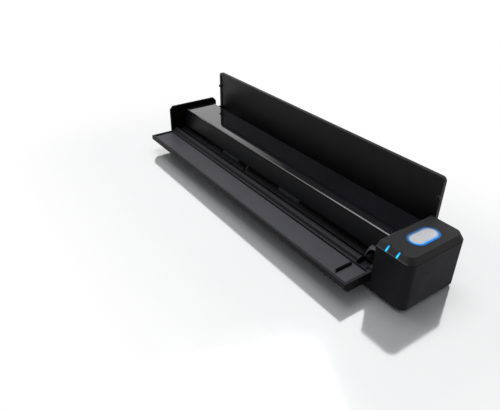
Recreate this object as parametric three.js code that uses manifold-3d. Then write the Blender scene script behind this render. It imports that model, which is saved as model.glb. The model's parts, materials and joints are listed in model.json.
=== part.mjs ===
// Portable sheet-fed document scanner, modelled as the parts it is assembled from.
// Millimetres, +Z up. X runs along the body towards the end with the scan button,
// -Y is the side where sheets are fed in, and Z is 0 under the rubber feet.

import * as THREE from "three";
import { ConvexGeometry } from "three/addons/geometries/ConvexGeometry.js";
import { mergeVertices } from "three/addons/utils/BufferGeometryUtils.js";
import Module from "manifold-3d";

const wasm = await Module();
wasm.setup();

// Overall sizes of the closed scanner
const bodyLength = 273;
const bodyDepth = 47.5;
const bodyHeight = 36;
const endCapThickness = 2.5;
const housingWidth = 24.5;

// Shared walls, edges and clearances
const wall = 1.8;
const edgeDrop = 3;
const edgeInset = 2.7;
const housingCornerRadius = 5;
const housingTopCornerRadius = 4.5;
const housingRearInset = 0.6;
const endCapSoftening = 0.6;
const bottomChamfer = 1.4;
const seamGap = 0.3;
const runGap = 0.35;
const fitGap = 0.1;
const boreGap = 0.3;
const overrun = 5;

// Feet and floor
const footHeight = 0.8;
const footLength = 14;
const footWidth = 7;
const footInset = 4;
const footRecess = 0.8;

// Sheet path and the lane that sheets run in
const pathHeight = 16;
const bedDrop = 0.6;
const bedFrontDrop = 1.8;
const bedThickness = 0.9;
const bedRearDrop = 1.8;
const laneLeftMargin = 5;
const laneRightMargin = 23;

// Rollers, shafts and their places across the depth
const feedRollerRadius = 4.5;
const ejectRollerRadius = 3.8;
const pinchRollerRadius = 3;
const rollerWidth = 24;
const rollerSpread = 38;
const shaftRadius = 1.5;
const pinchShaftRadius = 1.2;
const nipGap = 0.3;
const bushFlange = 1;
const bushWall = 1.2;

// Folding feed guide in front
const feedGuideThickness = 6.3;
const feedGuideUnderside = 7.7;
const feedBarrelRadius = 4;
const guideSkin = 1.8;
const guideRim = 2.2;
const guideRecess = 0.8;
const guidePanelThickness = 1.2;
const guideRibPitch = 27;
const alignRibLength = 13;
const alignRibWidth = 1.3;
const alignRibHeight = 1.6;
const alignRibInset = 10;
const guidePinRadius = 1.25;
const guidePinLength = 6;

// Folding output guide on top
const outputPanelThickness = 2.8;
const outputPivotSetback = 5.3;
const outputPivotDrop = 12.55;
const outputCornerRadius = 3;
const armThickness = 2;
const armDiscRadius = 2.6;
const armSpread = 4;
const armRearSpread = 1;
const stopRadius = 1.2;
const stopSetback = 22.9;

// Top cover, the bridge that carries the scan sensor
const coverTopClearance = 0.6;
const coverWall = 2;
const coverFrontSetback = 14.25;
const coverLipSetback = 11.95;
const coverLipZ = 18.7;
const coverRearSetback = 2.75;
const coverRearZ = 19.8;
const coverRearRadius = 2.4;
const coverLeastRadius = 0.6;
const coverPlateThickness = 1.2;
const coverPlateBevel = 0.4;
const coverEarGap = 0.4;
const coverPivotZ = 9.3;
const coverEarRadius = 2.4;
const coverPinRadius = 1.2;
const tabWidth = 7.7;
const tabRightInset = 1.4;
const tabRadius = 6;
const tabSetback = 0.5;
const tabThickness = 1.6;

// Scan sensor
const sensorWidth = 11;
const sensorHeight = 10.2;
const sensorGlassThickness = 0.9;
const sensorGlassInset = 1.6;

// Button, light ring and status lights
const buttonLength = 19.4;
const buttonWidth = 8.7;
const buttonRise = 0.5;
const buttonBevel = 0.6;
const buttonTravel = 0.8;
const switchHalf = 3;
const buttonCentreY = 1.5;
const buttonCentreInset = 11.3;
const ringWidth = 2.1;
const ringRise = 0.15;
const ringDepth = 2.2;
const lightWidth = 1.5;
const lightSpacing = 7.5;
const lightInset = 6.6;
const lightDepth = 1.4;
const postInsetX = 2.7;
const postInsetY = 5.4;
const postRadius = 1.2;

// Gear train: tooth counts and tooth size
const gearModule = 0.5;
const feedTeeth = 24;
const idlerTeeth = 20;
const ejectTeeth = 20;
const reductionLargeTeeth = 28;
const reductionSmallTeeth = 12;
const pinionTeeth = 12;
const gearWidth = 2.6;
const gearLayerGap = 0.6;
const toothRootShare = 0.6;
const toothTipShare = 0.2;
const addendumShare = 0.8;
const dedendumShare = 1.15;

// Motor, battery and boards
const motorRadius = 8.5;
const motorLength = 10;
const motorShaftRadius = 1;
const motorPlateThickness = 1;
const motorPlateMargin = 3;
const stubRadius = 1.2;
const batteryLengthShare = 0.446;
const boardThickness = 1.2;
const mainBoardLengthShare = 0.382;
const chipSize = 9;
const chipCount = 3;
const usbWidth = 7.4;
const usbHeight = 2.5;
const usbDepth = 5.6;
const usbTongueWidth = 4.9;
const usbTongueHeight = 0.6;
const rearKeyRadius = 1.2;
const wifiKnobWidth = 1.8;
const wifiTravel = 1.8;
const screwHeadRadius = 2.6;
const screwShankRadius = 1.2;
const screwLength = 5;

// Sheet sensor lever
const leverThickness = 1.6;
const leverTipRadius = 0.8;
const leverSetback = 2;
const leverReach = 3;
const leverRise = 1;

// Facet counts
const roundSegments = 24;
const smallSegments = 12;
const cornerSegments = 6;

// Planes worked out from the sizes above
const leftX = -bodyLength / 2;
const rightX = bodyLength / 2;
const capX = leftX + endCapThickness;
const housingX = rightX - housingWidth;
const frontY = -bodyDepth / 2;
const rearY = bodyDepth / 2;
const bottomZ = footHeight;
const floorZ = bottomZ + wall;
const spanLeft = capX + seamGap;
const spanRight = housingX - seamGap;
const coverLeft = spanLeft + armThickness + seamGap;
const coverRight = spanRight - armThickness - seamGap;
const laneLeft = capX + laneLeftMargin;
const laneRight = housingX - laneRightMargin;
const laneCentre = (laneLeft + laneRight) / 2;
const bedZ = pathHeight - bedDrop;
const bedFrontZ = pathHeight - bedFrontDrop;
const bedRearZ = pathHeight - bedRearDrop;
const bedUnderZ = bedFrontZ - bedThickness;
const caseRimZ = bedUnderZ - seamGap;
const feedPivotY = frontY + feedBarrelRadius;
const feedPivotZ = feedGuideUnderside + feedBarrelRadius;
const channelRadius = feedBarrelRadius + runGap;
const channelRearY = feedPivotY + channelRadius + wall;
const leverPivotY = channelRearY + leverTipRadius + seamGap;
const axisZ = pathHeight - feedRollerRadius;
const feedAxisY = leverPivotY + leverSetback + feedRollerRadius;
const idlerAxisY = feedAxisY + pitchRadius(feedTeeth) + pitchRadius(idlerTeeth);
const ejectAxisY = idlerAxisY + pitchRadius(idlerTeeth) + pitchRadius(ejectTeeth);
const feedTopZ = feedGuideUnderside + feedGuideThickness;
const feedFrontY = feedPivotY - (bodyHeight - feedPivotZ);
const outputFrontY = frontY + feedGuideThickness + seamGap;
const outputUnderZ = bodyHeight - outputPanelThickness;
const outputPivotY = rearY - outputPivotSetback;
const outputPivotZ = bodyHeight - outputPivotDrop;
const coverFrontY = frontY + coverFrontSetback;
const coverLipY = frontY + coverLipSetback;
const coverRearY = rearY - coverRearSetback;
const coverPivotY = ejectAxisY + shaftRadius + coverEarGap + coverEarRadius;
const coverTopZ = outputUnderZ - coverTopClearance;
const coverShellZ = coverTopZ - coverPlateThickness - seamGap;
const coverEndLeft = coverLeft + coverWall;
const coverEndRight = coverRight - coverWall;
const sensorLowZ = pathHeight + bedDrop + sensorGlassThickness;
const sensorTopZ = sensorLowZ + sensorHeight;
const pinchAxisZ = pathHeight + nipGap + pinchRollerRadius;
const housingInnerX = housingX + wall;
const housingTopZ = bodyHeight - edgeDrop;
const bezelRoofZ = bodyHeight - wall;
const buttonX = housingX + buttonCentreInset;
const buttonTopZ = bodyHeight + buttonRise;

// Solids and booleans

function toSolid(geometry) {
  const bare = geometry.index ? geometry.clone() : geometry;
  bare.deleteAttribute("normal");
  bare.deleteAttribute("uv");
  const merged = mergeVertices(bare);
  return new wasm.Manifold(new wasm.Mesh({
    numProp: 3,
    vertProperties: new Float32Array(merged.attributes.position.array),
    triVerts: new Uint32Array(merged.index.array),
  }));
}

function toGeometry(solid) {
  const mesh = solid.getMesh();
  const geometry = new THREE.BufferGeometry();
  const count = mesh.vertProperties.length / mesh.numProp;
  const positions = new Float32Array(count * 3);
  for (let i = 0; i < count; i += 1) {
    for (let k = 0; k < 3; k += 1) {
      positions[i * 3 + k] = mesh.vertProperties[i * mesh.numProp + k];
    }
  }
  geometry.setAttribute("position", new THREE.BufferAttribute(positions, 3));
  geometry.setIndex(new THREE.BufferAttribute(new Uint32Array(mesh.triVerts), 1));
  geometry.computeVertexNormals();
  return geometry;
}

function join(solids) {
  return solids.reduce((all, next) => all.add(next));
}

function cut(solid, tools) {
  return tools.reduce((left, tool) => left.subtract(tool), solid);
}

// A box between two corners
function block(x0, x1, y0, y1, z0, z1) {
  const geometry = new THREE.BoxGeometry(x1 - x0, y1 - y0, z1 - z0);
  geometry.translate((x0 + x1) / 2, (y0 + y1) / 2, (z0 + z1) / 2);
  return toSolid(geometry);
}

// An outline in the YZ plane, given as a shape, run along X
function alongX(shape, x0, x1) {
  const geometry = new THREE.ExtrudeGeometry(shape, {
    depth: x1 - x0,
    bevelEnabled: false,
    curveSegments: cornerSegments,
  });
  const turn = new THREE.Matrix4().makeBasis(
    new THREE.Vector3(0, 1, 0),
    new THREE.Vector3(0, 0, 1),
    new THREE.Vector3(1, 0, 0),
  );
  geometry.applyMatrix4(turn);
  geometry.translate(x0, 0, 0);
  return toSolid(geometry);
}

// An outline in the XY plane run up Z
function alongZ(shape, z0, z1, segments = cornerSegments) {
  const geometry = new THREE.ExtrudeGeometry(shape, {
    depth: z1 - z0,
    bevelEnabled: false,
    curveSegments: segments,
  });
  geometry.translate(0, 0, z0);
  return toSolid(geometry);
}

// A round bar along X
function rodX(y, z, radius, x0, x1, segments = roundSegments) {
  const geometry = new THREE.CylinderGeometry(radius, radius, x1 - x0, segments);
  geometry.rotateZ(-Math.PI / 2);
  geometry.translate((x0 + x1) / 2, y, z);
  return toSolid(geometry);
}

// A round bar along Y
function rodY(x, z, radius, y0, y1, segments = roundSegments) {
  const geometry = new THREE.CylinderGeometry(radius, radius, y1 - y0, segments);
  geometry.translate(x, (y0 + y1) / 2, z);
  return toSolid(geometry);
}

// A round bar along Z
function rodZ(x, y, radius, z0, z1, segments = roundSegments) {
  const geometry = new THREE.CylinderGeometry(radius, radius, z1 - z0, segments);
  geometry.rotateX(Math.PI / 2);
  geometry.translate(x, y, (z0 + z1) / 2);
  return toSolid(geometry);
}

// A round cutter along X that reaches past both faces it goes through
function boreX(y, z, radius, x0, x1, segments = smallSegments) {
  return rodX(y, z, radius, x0 - overrun, x1 + overrun, segments);
}

function polygon(points) {
  return new THREE.Shape(points.map(([u, v]) => new THREE.Vector2(u, v)));
}

// A slot with a round bottom and an open top
function cradle(y, z, radius, topZ) {
  const shape = new THREE.Shape();
  shape.moveTo(y - radius, topZ);
  shape.lineTo(y - radius, z);
  shape.absarc(y, z, radius, Math.PI, 2 * Math.PI, false);
  shape.lineTo(y + radius, topZ);
  shape.closePath();
  return shape;
}

// A slot with round ends that runs along Y
function pill(x, y, length, width) {
  const radius = width / 2;
  const reach = (length - width) / 2;
  const shape = new THREE.Shape();
  shape.absarc(x, y + reach, radius, 0, Math.PI, false);
  shape.absarc(x, y - reach, radius, Math.PI, 2 * Math.PI, false);
  shape.closePath();
  return shape;
}

// A rectangle whose two corners on its far side in X are rounded
function roundedEnd(x0, x1, y0, y1, radius) {
  const shape = new THREE.Shape();
  shape.moveTo(x0, y0);
  shape.lineTo(x1 - radius, y0);
  shape.absarc(x1 - radius, y0 + radius, radius, -Math.PI / 2, 0, false);
  shape.absarc(x1 - radius, y1 - radius, radius, 0, Math.PI / 2, false);
  shape.lineTo(x0, y1);
  shape.closePath();
  return shape;
}

// A convex solid between two outlines at two heights
function taperZ(lowShape, lowZ, highShape, highZ) {
  const low = lowShape.extractPoints(cornerSegments).shape;
  const high = highShape.extractPoints(cornerSegments).shape;
  const points = [
    ...low.map((p) => new THREE.Vector3(p.x, p.y, lowZ)),
    ...high.map((p) => new THREE.Vector3(p.x, p.y, highZ)),
  ];
  return toSolid(new ConvexGeometry(points));
}

// Naming, colour and the group tree

const group = new THREE.Group();

const colours = {
  satinBlack: [0x1b1b1d, 0.42, 0],
  sideBlack: [0x202127, 0.4, 0],
  glossBlack: [0x0b0b0d, 0.08, 0],
  guideGrey: [0x3c3c41, 0.5, 0],
  bezelGrey: [0x2e2e31, 0.55, 0],
  silver: [0xd9dbe2, 0.35, 0.3],
  ringBlue: [0x1470e6, 0.3, 0],
  lightBlue: [0x2fb7f0, 0.3, 0],
  rubber: [0x1a1a1a, 0.85, 0],
  rollerRubber: [0x3a3d42, 0.8, 0],
  steel: [0xb9bcc0, 0.3, 1],
  acetal: [0xe4e2da, 0.5, 0],
  boardGreen: [0x1d5a38, 0.55, 0],
  battery: [0x5c6f86, 0.5, 0],
  glass: [0x9fb0b5, 0.05, 0],
  white: [0xf0f0ec, 0.6, 0],
};

function piece(parent, name, colour, solid) {
  const [color, roughness, metalness] = colours[colour];
  const material = new THREE.MeshStandardMaterial({ color, roughness, metalness });
  const mesh = new THREE.Mesh(toGeometry(solid), material);
  mesh.name = name;
  parent.add(mesh);
  return mesh;
}

// Lower case: floor, front and rear walls, end walls, shaft ribs

const feedRollersX = [laneCentre - rollerSpread, laneCentre + rollerSpread];
const shaftLeftX = laneLeft + wall;
const ribThickness = 1.8;
const leftRibX = shaftLeftX;
const rightRibX = laneRight + wall;
const earLeftX = [coverLeft, coverEndLeft];
const earRightX = [coverEndRight, coverRight];
const rearNotchZ = coverPivotZ - coverEarRadius + seamGap * 2;

const shelfZ = feedPivotZ - channelRadius;

// Section of the case, with the channel that the feed guide's barrel turns in
function caseProfile() {
  const shape = new THREE.Shape();
  shape.moveTo(frontY, bottomZ + bottomChamfer);
  shape.lineTo(frontY + bottomChamfer, bottomZ);
  shape.lineTo(rearY - bottomChamfer, bottomZ);
  shape.lineTo(rearY, bottomZ + bottomChamfer);
  shape.lineTo(rearY, caseRimZ);
  shape.lineTo(feedPivotY + channelRadius, caseRimZ);
  shape.lineTo(feedPivotY + channelRadius, feedPivotZ);
  shape.absarc(feedPivotY, feedPivotZ, channelRadius, 0, -Math.PI / 2, true);
  shape.lineTo(frontY, shelfZ);
  shape.closePath();
  return shape;
}

// Section of the room inside the case
function caseRoom() {
  const shape = new THREE.Shape();
  shape.moveTo(rearY - wall, caseRimZ + overrun);
  shape.lineTo(rearY - wall, floorZ);
  shape.lineTo(frontY + wall, floorZ);
  shape.lineTo(frontY + wall, shelfZ - wall);
  shape.lineTo(feedPivotY, shelfZ - wall);
  shape.absarc(feedPivotY, feedPivotZ, channelRadius + wall, -Math.PI / 2, 0, false);
  shape.lineTo(feedPivotY + channelRadius + wall, caseRimZ + overrun);
  shape.closePath();
  return shape;
}

function footCentres() {
  const x0 = spanLeft + footInset + footLength / 2;
  const x1 = spanRight - footInset - footLength / 2;
  const y0 = frontY + footInset + footWidth / 2;
  const y1 = rearY - footInset - footWidth / 2;
  return [[x0, y0], [x1, y0], [x0, y1], [x1, y1]];
}

const screwY = rearY - footInset - footWidth / 2;

function screwCentres() {
  const beyondFoot = footInset + footLength + footInset;
  const x0 = spanLeft + beyondFoot;
  const x1 = spanRight - beyondFoot;
  return [[x0, screwY], [x1, screwY]];
}

function footShape(x, y, grow) {
  const shape = pill(0, 0, footLength + grow * 2, footWidth + grow * 2);
  const points = shape.extractPoints(cornerSegments).shape;
  return new THREE.Shape(points.map((p) => new THREE.Vector2(x + p.y, y - p.x)));
}

function lowerCase() {
  const bays = [
    [spanLeft + wall, leftRibX],
    [leftRibX + ribThickness, rightRibX],
    [rightRibX + ribThickness, spanRight - wall],
  ];
  const rooms = bays.map(([x0, x1]) => alongX(caseRoom(), x0, x1));
  const shell = cut(alongX(caseProfile(), spanLeft, spanRight), rooms);
  const bosses = screwCentres().map(([x, y]) => (
    rodZ(x, y, screwShankRadius + wall, floorZ - wall / 2, bottomZ + screwLength + wall)
  ));
  const body = join([shell, ...bosses]);
  const cuts = [];
  for (const y of [feedAxisY, ejectAxisY]) {
    const seat = cradle(y, axisZ, shaftRadius + bushWall + fitGap, caseRimZ + overrun);
    const passage = cradle(y, axisZ, shaftRadius + boreGap, caseRimZ + overrun);
    cuts.push(alongX(seat, leftRibX - seamGap, leftRibX + ribThickness + seamGap));
    cuts.push(alongX(passage, rightRibX - seamGap, rightRibX + ribThickness + seamGap));
    cuts.push(alongX(passage, spanRight - wall - seamGap, spanRight + overrun));
  }
  for (const x of [spanLeft, spanRight]) {
    cuts.push(boreX(coverPivotY, coverPivotZ, coverPinRadius + boreGap, x, x));
  }
  for (const [x0, x1] of [earLeftX, earRightX]) {
    cuts.push(block(x0 - seamGap, x1 + seamGap, rearY - wall - seamGap, rearY + overrun, rearNotchZ,
      caseRimZ + overrun));
  }
  for (const [x, y] of footCentres()) {
    cuts.push(alongZ(footShape(x, y, seamGap), bottomZ - overrun, bottomZ + footRecess));
  }
  for (const [x, y] of screwCentres()) {
    cuts.push(rodZ(x, y, screwHeadRadius + boreGap, bottomZ - overrun, bottomZ + wall / 2 + seamGap));
    cuts.push(rodZ(x, y, screwShankRadius + fitGap, bottomZ - overrun, bottomZ + screwLength + seamGap));
  }
  return cut(body, cuts);
}

function rubberFoot(x, y) {
  return alongZ(footShape(x, y, 0), 0, bottomZ + footRecess - seamGap);
}

function caseScrew(x, y) {
  const headZ = bottomZ + seamGap;
  return join([
    rodZ(x, y, screwHeadRadius, headZ, bottomZ + wall / 2, smallSegments),
    rodZ(x, y, screwShankRadius, headZ, bottomZ + screwLength, smallSegments),
  ]);
}

// Feed bed: the plate that sheets slide on, with windows for the rollers

const leverX = laneCentre - rollerWidth / 2;

function bedProfile() {
  const y0 = feedPivotY + feedBarrelRadius + runGap;
  const rise = bedZ - bedFrontZ;
  return polygon([
    [y0, bedUnderZ],
    [rearY, bedUnderZ],
    [rearY, bedRearZ],
    [ejectAxisY + ejectRollerRadius + rise, bedZ],
    [feedAxisY - feedRollerRadius + rise, bedZ],
    [feedAxisY - feedRollerRadius - rise, bedFrontZ],
    [y0, bedFrontZ],
  ]);
}

function feedBed() {
  const body = alongX(bedProfile(), spanLeft, spanRight);
  const cuts = [];
  for (const x of feedRollersX) {
    for (const [y, r] of [[feedAxisY, feedRollerRadius], [ejectAxisY, ejectRollerRadius]]) {
      cuts.push(block(x - rollerWidth / 2 - runGap, x + rollerWidth / 2 + runGap,
        y - r - runGap, y + r + runGap, bedUnderZ - overrun, bedZ + overrun));
    }
  }
  const platen = platenBox(seamGap);
  cuts.push(block(platen[0], platen[1], platen[2], platen[3], platen[4], bedZ + overrun));
  cuts.push(block(leverX - leverThickness / 2 - runGap, leverX + leverThickness / 2 + runGap,
    leverPivotY - wall, feedAxisY + leverTipRadius, bedUnderZ - overrun, bedZ + overrun));
  for (const [x0, x1] of [earLeftX, earRightX]) {
    cuts.push(block(x0 - seamGap, x1 + seamGap, coverPivotY - coverEarRadius - seamGap * 2,
      rearY + overrun, bedUnderZ - overrun, bedZ + overrun));
  }
  const flange = shaftRadius + bushWall + bushFlange / 2 + seamGap;
  for (const y of [feedAxisY, ejectAxisY]) {
    cuts.push(block(leftRibX - seamGap, leftRibX + wall + bushFlange + seamGap * 2, y - flange, y + flange,
      bedUnderZ - overrun, axisZ + flange));
  }
  const shoulder = bedZ - bedFrontZ;
  cuts.push(block(laneRight, spanRight + overrun, frontY, rearY + overrun, bedZ - shoulder, bedZ + overrun));
  cuts.push(block(spanLeft - overrun, laneLeft, frontY, rearY + overrun, bedZ - shoulder, bedZ + overrun));
  return cut(body, cuts);
}

// White backing strip opposite the sensor glass
function platenBox(grow) {
  const halfWidth = sensorWidth / 2 - sensorGlassInset;
  return [
    laneLeft + wall - grow,
    laneRight - wall + grow,
    sensorCentreY - halfWidth - grow,
    sensorCentreY + halfWidth + grow,
    bedZ - bedThickness - grow,
    bedZ,
  ];
}

const sensorCentreY = (feedAxisY + pinchRollerRadius + ejectAxisY - pinchRollerRadius) / 2;

// Sheet sensor lever: leans into the path and is pushed down by a sheet

function sensorLever() {
  const tipY = leverPivotY + leverReach;
  const tipZ = pathHeight + leverRise;
  const half = leverTipRadius;
  const reach = polygon([
    [leverPivotY - half, axisZ],
    [leverPivotY + half, axisZ - half],
    [tipY + half, tipZ - half],
    [tipY, tipZ],
    [tipY - half, tipZ - half],
  ]);
  const x0 = leverX - leverThickness / 2;
  const x1 = leverX + leverThickness / 2;
  const hubRadius = leverTipRadius + seamGap;
  const hub = rodX(leverPivotY, axisZ, hubRadius, x0 - leverThickness, x1 + leverThickness, smallSegments);
  return join([alongX(reach, x0, x1), hub]);
}

// Shafts, rollers and bushes

const gearLayerX = housingInnerX + gearLayerGap + bushFlange;
const largeLayerX = gearLayerX + gearWidth + gearLayerGap;

function shaft(y) {
  return rodX(y, axisZ, shaftRadius, shaftLeftX - wall, gearLayerX + gearWidth, smallSegments);
}

function roller(x, y, z, radius, bore, width) {
  const tube = rodX(y, z, radius, x - width / 2, x + width / 2);
  return tube.subtract(rodX(y, z, bore, x - width, x + width, smallSegments));
}

function bush(x, y) {
  const outer = shaftRadius + bushWall;
  const x0 = x - seamGap / 2;
  const x1 = x + wall + seamGap / 2;
  const sleeve = rodX(y, axisZ, outer, x0, x1, smallSegments * 2);
  const flange = rodX(y, axisZ, outer + bushFlange / 2, x1, x1 + bushFlange, smallSegments * 2);
  const bore = rodX(y, axisZ, shaftRadius + fitGap, x0 - overrun, x1 + overrun, smallSegments);
  return join([sleeve, flange]).subtract(bore);
}

// Gears: straight-flanked teeth, thinned so that the pairs run with play

function pitchRadius(teeth) {
  return (teeth * gearModule) / 2;
}

function gear(teeth, y, z, phase, x0, bore) {
  const radius = pitchRadius(teeth);
  const tip = radius + gearModule * addendumShare;
  const root = radius - gearModule * dedendumShare;
  const step = (2 * Math.PI) / teeth;
  const points = [];
  for (let i = 0; i < teeth; i += 1) {
    const centre = phase + i * step;
    const rootHalf = (step * toothRootShare) / 2;
    const tipHalf = (step * toothTipShare) / 2;
    for (const [r, a] of [[root, -rootHalf], [tip, -tipHalf], [tip, tipHalf], [root, rootHalf]]) {
      points.push([y + r * Math.cos(centre + a), z + r * Math.sin(centre + a)]);
    }
  }
  const blank = alongX(polygon(points), x0, x0 + gearWidth);
  return blank.subtract(rodX(y, z, bore, x0 - overrun, x0 + gearWidth + overrun, smallSegments));
}

// The angle of a tooth of the second gear so that it meshes with the first,
// whose own tooth angle is given, with the second gear's centre at a given bearing
function meshPhase(firstTeeth, firstPhase, secondTeeth, bearing) {
  const halfPitch = Math.PI / secondTeeth;
  const carried = ((bearing - firstPhase) * firstTeeth) / secondTeeth;
  return bearing + Math.PI - halfPitch + carried;
}

const reductionAxisY = feedAxisY;
const reductionAxisZ = axisZ + pitchRadius(feedTeeth) + pitchRadius(reductionSmallTeeth);
const motorAxisY = reductionAxisY + pitchRadius(reductionLargeTeeth) + pitchRadius(pinionTeeth);
const motorAxisZ = reductionAxisZ;
const motorTopZ = motorAxisZ + motorRadius;
const feedPhase = Math.PI / feedTeeth;
const idlerPhase = meshPhase(feedTeeth, feedPhase, idlerTeeth, 0);
const ejectPhase = meshPhase(idlerTeeth, idlerPhase, ejectTeeth, 0);
const reductionPhase = meshPhase(feedTeeth, feedPhase, reductionSmallTeeth, Math.PI / 2);
const pinionPhase = meshPhase(reductionLargeTeeth, reductionPhase, pinionTeeth, 0);
const motorPlateX = largeLayerX + gearWidth + gearLayerGap;

// Large and small wheel in one piece, joined by a hub between the two layers
function reductionGear() {
  const y = reductionAxisY;
  const z = reductionAxisZ;
  const bore = stubRadius + boreGap;
  const small = gear(reductionSmallTeeth, y, z, reductionPhase, gearLayerX, bore);
  const large = gear(reductionLargeTeeth, y, z, reductionPhase, largeLayerX, bore);
  const hub = rodX(y, z, bore + bushWall / 2, gearLayerX + gearWidth, largeLayerX, smallSegments);
  return join([small, large, hub.subtract(boreX(y, z, bore, gearLayerX, largeLayerX))]);
}

function motorPinion() {
  const body = gear(pinionTeeth, motorAxisY, motorAxisZ, pinionPhase, largeLayerX, motorShaftRadius);
  const endX = motorPlateX + motorPlateThickness;
  const core = rodX(motorAxisY, motorAxisZ, motorShaftRadius + fitGap, largeLayerX, endX, smallSegments);
  return join([body, core]);
}

// Metal plate that holds the motor and has the two stub axles riveted in
function motorPlate() {
  const x0 = motorPlateX;
  const x1 = motorPlateX + motorPlateThickness;
  const sheet = block(x0, x1, reductionAxisY - motorPlateMargin, motorAxisY + motorRadius, floorZ + seamGap,
    motorTopZ);
  const opening = boreX(motorAxisY, motorAxisZ, motorShaftRadius + fitGap + boreGap, x0, x1);
  return join([
    sheet.subtract(opening),
    stubAxle(idlerAxisY, axisZ),
    stubAxle(reductionAxisY, reductionAxisZ),
  ]);
}

function stubAxle(y, z) {
  return rodX(y, z, stubRadius, housingInnerX + seamGap, motorPlateX + motorPlateThickness, smallSegments);
}

function motor() {
  const x0 = motorPlateX + motorPlateThickness + seamGap;
  const can = rodX(motorAxisY, motorAxisZ, motorRadius, x0, x0 + motorLength);
  const rearBoss = rodX(motorAxisY, motorAxisZ, motorShaftRadius * 2, x0, x0 + motorLength + seamGap * 2,
    smallSegments);
  return join([can, rearBoss]);
}

// Right housing: drive and control box, open on top and closed by the bezel

const housingCornersInner = housingCornerRadius - wall;
const boardBottomZ = motorTopZ + fitGap;
const ioBoardZ = floorZ + seamGap;
const ioBoardY = [motorAxisY + motorRadius + seamGap, rearY - wall - seamGap];
const rearRowZ = ioBoardZ + boardThickness + usbHeight / 2 + seamGap;
const usbX = rightX - housingCornerRadius - usbWidth / 2 - seamGap;
const rearKeyX = usbX - usbWidth / 2 - rearKeyRadius - boreGap * 2;
const wifiRightX = rearKeyX - rearKeyRadius - boreGap * 3;
const wifiX = [wifiRightX - wifiKnobWidth - wifiTravel - fitGap * 2, wifiRightX];

function rightHousing() {
  const foot = roundedEnd(housingX, rightX - bottomChamfer, frontY + bottomChamfer, rearY - bottomChamfer,
    housingCornerRadius - bottomChamfer);
  const full = roundedEnd(housingX, rightX, frontY, rearY, housingCornerRadius);
  const sill = taperZ(foot, bottomZ, full, bottomZ + bottomChamfer);
  const walls = alongZ(full, bottomZ + bottomChamfer, housingTopZ - seamGap);
  const room = roundedEnd(housingInnerX, rightX - wall, frontY + wall, rearY - wall, housingCornersInner);
  const shell = join([sill, walls]).subtract(alongZ(room, floorZ, bodyHeight));
  const bosses = [[reductionAxisY, reductionAxisZ], [idlerAxisY, axisZ]].map(([y, z]) => (
    rodX(y, z, stubRadius + wall / 2, housingInnerX - wall / 2, gearLayerX - gearLayerGap, smallSegments)
      .subtract(rodX(y, z, stubRadius + fitGap, housingInnerX, gearLayerX + overrun, smallSegments))
  ));
  const bushHole = shaftRadius + bushWall + fitGap;
  const pinHole = guidePinRadius + fitGap;
  const cuts = [
    boreX(feedAxisY, axisZ, bushHole, housingX, housingInnerX, smallSegments * 2),
    boreX(ejectAxisY, axisZ, bushHole, housingX, housingInnerX, smallSegments * 2),
    boreX(coverPivotY, coverPivotZ, coverPinRadius + fitGap, housingX, housingInnerX),
    rodX(feedPivotY, feedPivotZ, pinHole, housingX - overrun, housingInnerX, smallSegments),
  ];
  const y0 = rearY - wall - overrun;
  const y1 = rearY + overrun;
  const halfWidth = usbWidth / 2 + seamGap;
  const halfHeight = usbHeight / 2 + seamGap;
  cuts.push(block(usbX - halfWidth, usbX + halfWidth, y0, y1, rearRowZ - halfHeight, rearRowZ + halfHeight));
  cuts.push(rodY(rearKeyX, rearRowZ, rearKeyRadius + boreGap, y0, y1, smallSegments));
  cuts.push(block(wifiX[0], wifiX[1], y0, y1, rearRowZ - rearKeyRadius, rearRowZ + rearKeyRadius));
  return join([cut(shell, cuts), ...bosses]);
}

// Control bezel: the tapered top of the housing
function controlBezel() {
  const low = roundedEnd(housingX, rightX, frontY, rearY, housingCornerRadius);
  const high = roundedEnd(housingX, rightX - edgeInset, frontY + edgeInset, rearY - housingRearInset,
    housingTopCornerRadius);
  const lowRoom = roundedEnd(housingInnerX, rightX - wall, frontY + wall, rearY - wall, housingCornersInner);
  const slant = edgeInset + wall / 2;
  const highRoom = roundedEnd(housingInnerX, rightX - slant, frontY + slant, rearY - housingRearInset - wall,
    housingTopCornerRadius - wall / 2);
  const outer = taperZ(low, housingTopZ, high, bodyHeight);
  const inner = taperZ(lowRoom, housingTopZ - overrun, lowRoom, housingTopZ);
  const crown = taperZ(lowRoom, housingTopZ, highRoom, bezelRoofZ);
  const ringGrow = (ringWidth + fitGap) * 2;
  const ringShape = pill(buttonX, buttonCentreY, buttonLength + ringGrow, buttonWidth + ringGrow);
  const ringHole = alongZ(ringShape, housingTopZ - overrun, bodyHeight + overrun, cornerSegments * 2);
  const postX = rightX - edgeInset - postInsetX;
  const postPlaces = [
    [buttonX, frontY + edgeInset + postInsetY],
    [postX, frontY + edgeInset + postInsetY],
    [postX, rearY - edgeInset - postInsetY],
  ];
  const postFootZ = boardBottomZ + boardThickness + seamGap;
  const posts = postPlaces.map(([x, y]) => (
    rodZ(x, y, postRadius, postFootZ, bezelRoofZ + wall / 2, smallSegments)
  ));
  const shell = cut(outer, [inner, crown, ringHole]);
  return cut(join([shell, ...posts]), statusLights(fitGap));
}

function statusLightX() {
  const first = housingX + lightInset;
  return [first, first + lightSpacing];
}

// Light guides that wrap over the front edge of the bezel
function statusLight(x, grow) {
  const shape = polygon([
    [frontY + edgeInset + lightDepth + grow, bodyHeight],
    [frontY + edgeInset, bodyHeight],
    [frontY + fitGap * 2, housingTopZ + fitGap * 2],
    [frontY + fitGap * 2 + lightDepth + grow, housingTopZ + fitGap * 2 - grow],
    [frontY + edgeInset + lightDepth + grow, bodyHeight - lightDepth - grow],
  ]);
  return alongX(shape, x - lightWidth / 2 - grow, x + lightWidth / 2 + grow);
}

function statusLights(grow) {
  return statusLightX().map((x) => statusLight(x, grow));
}

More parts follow.
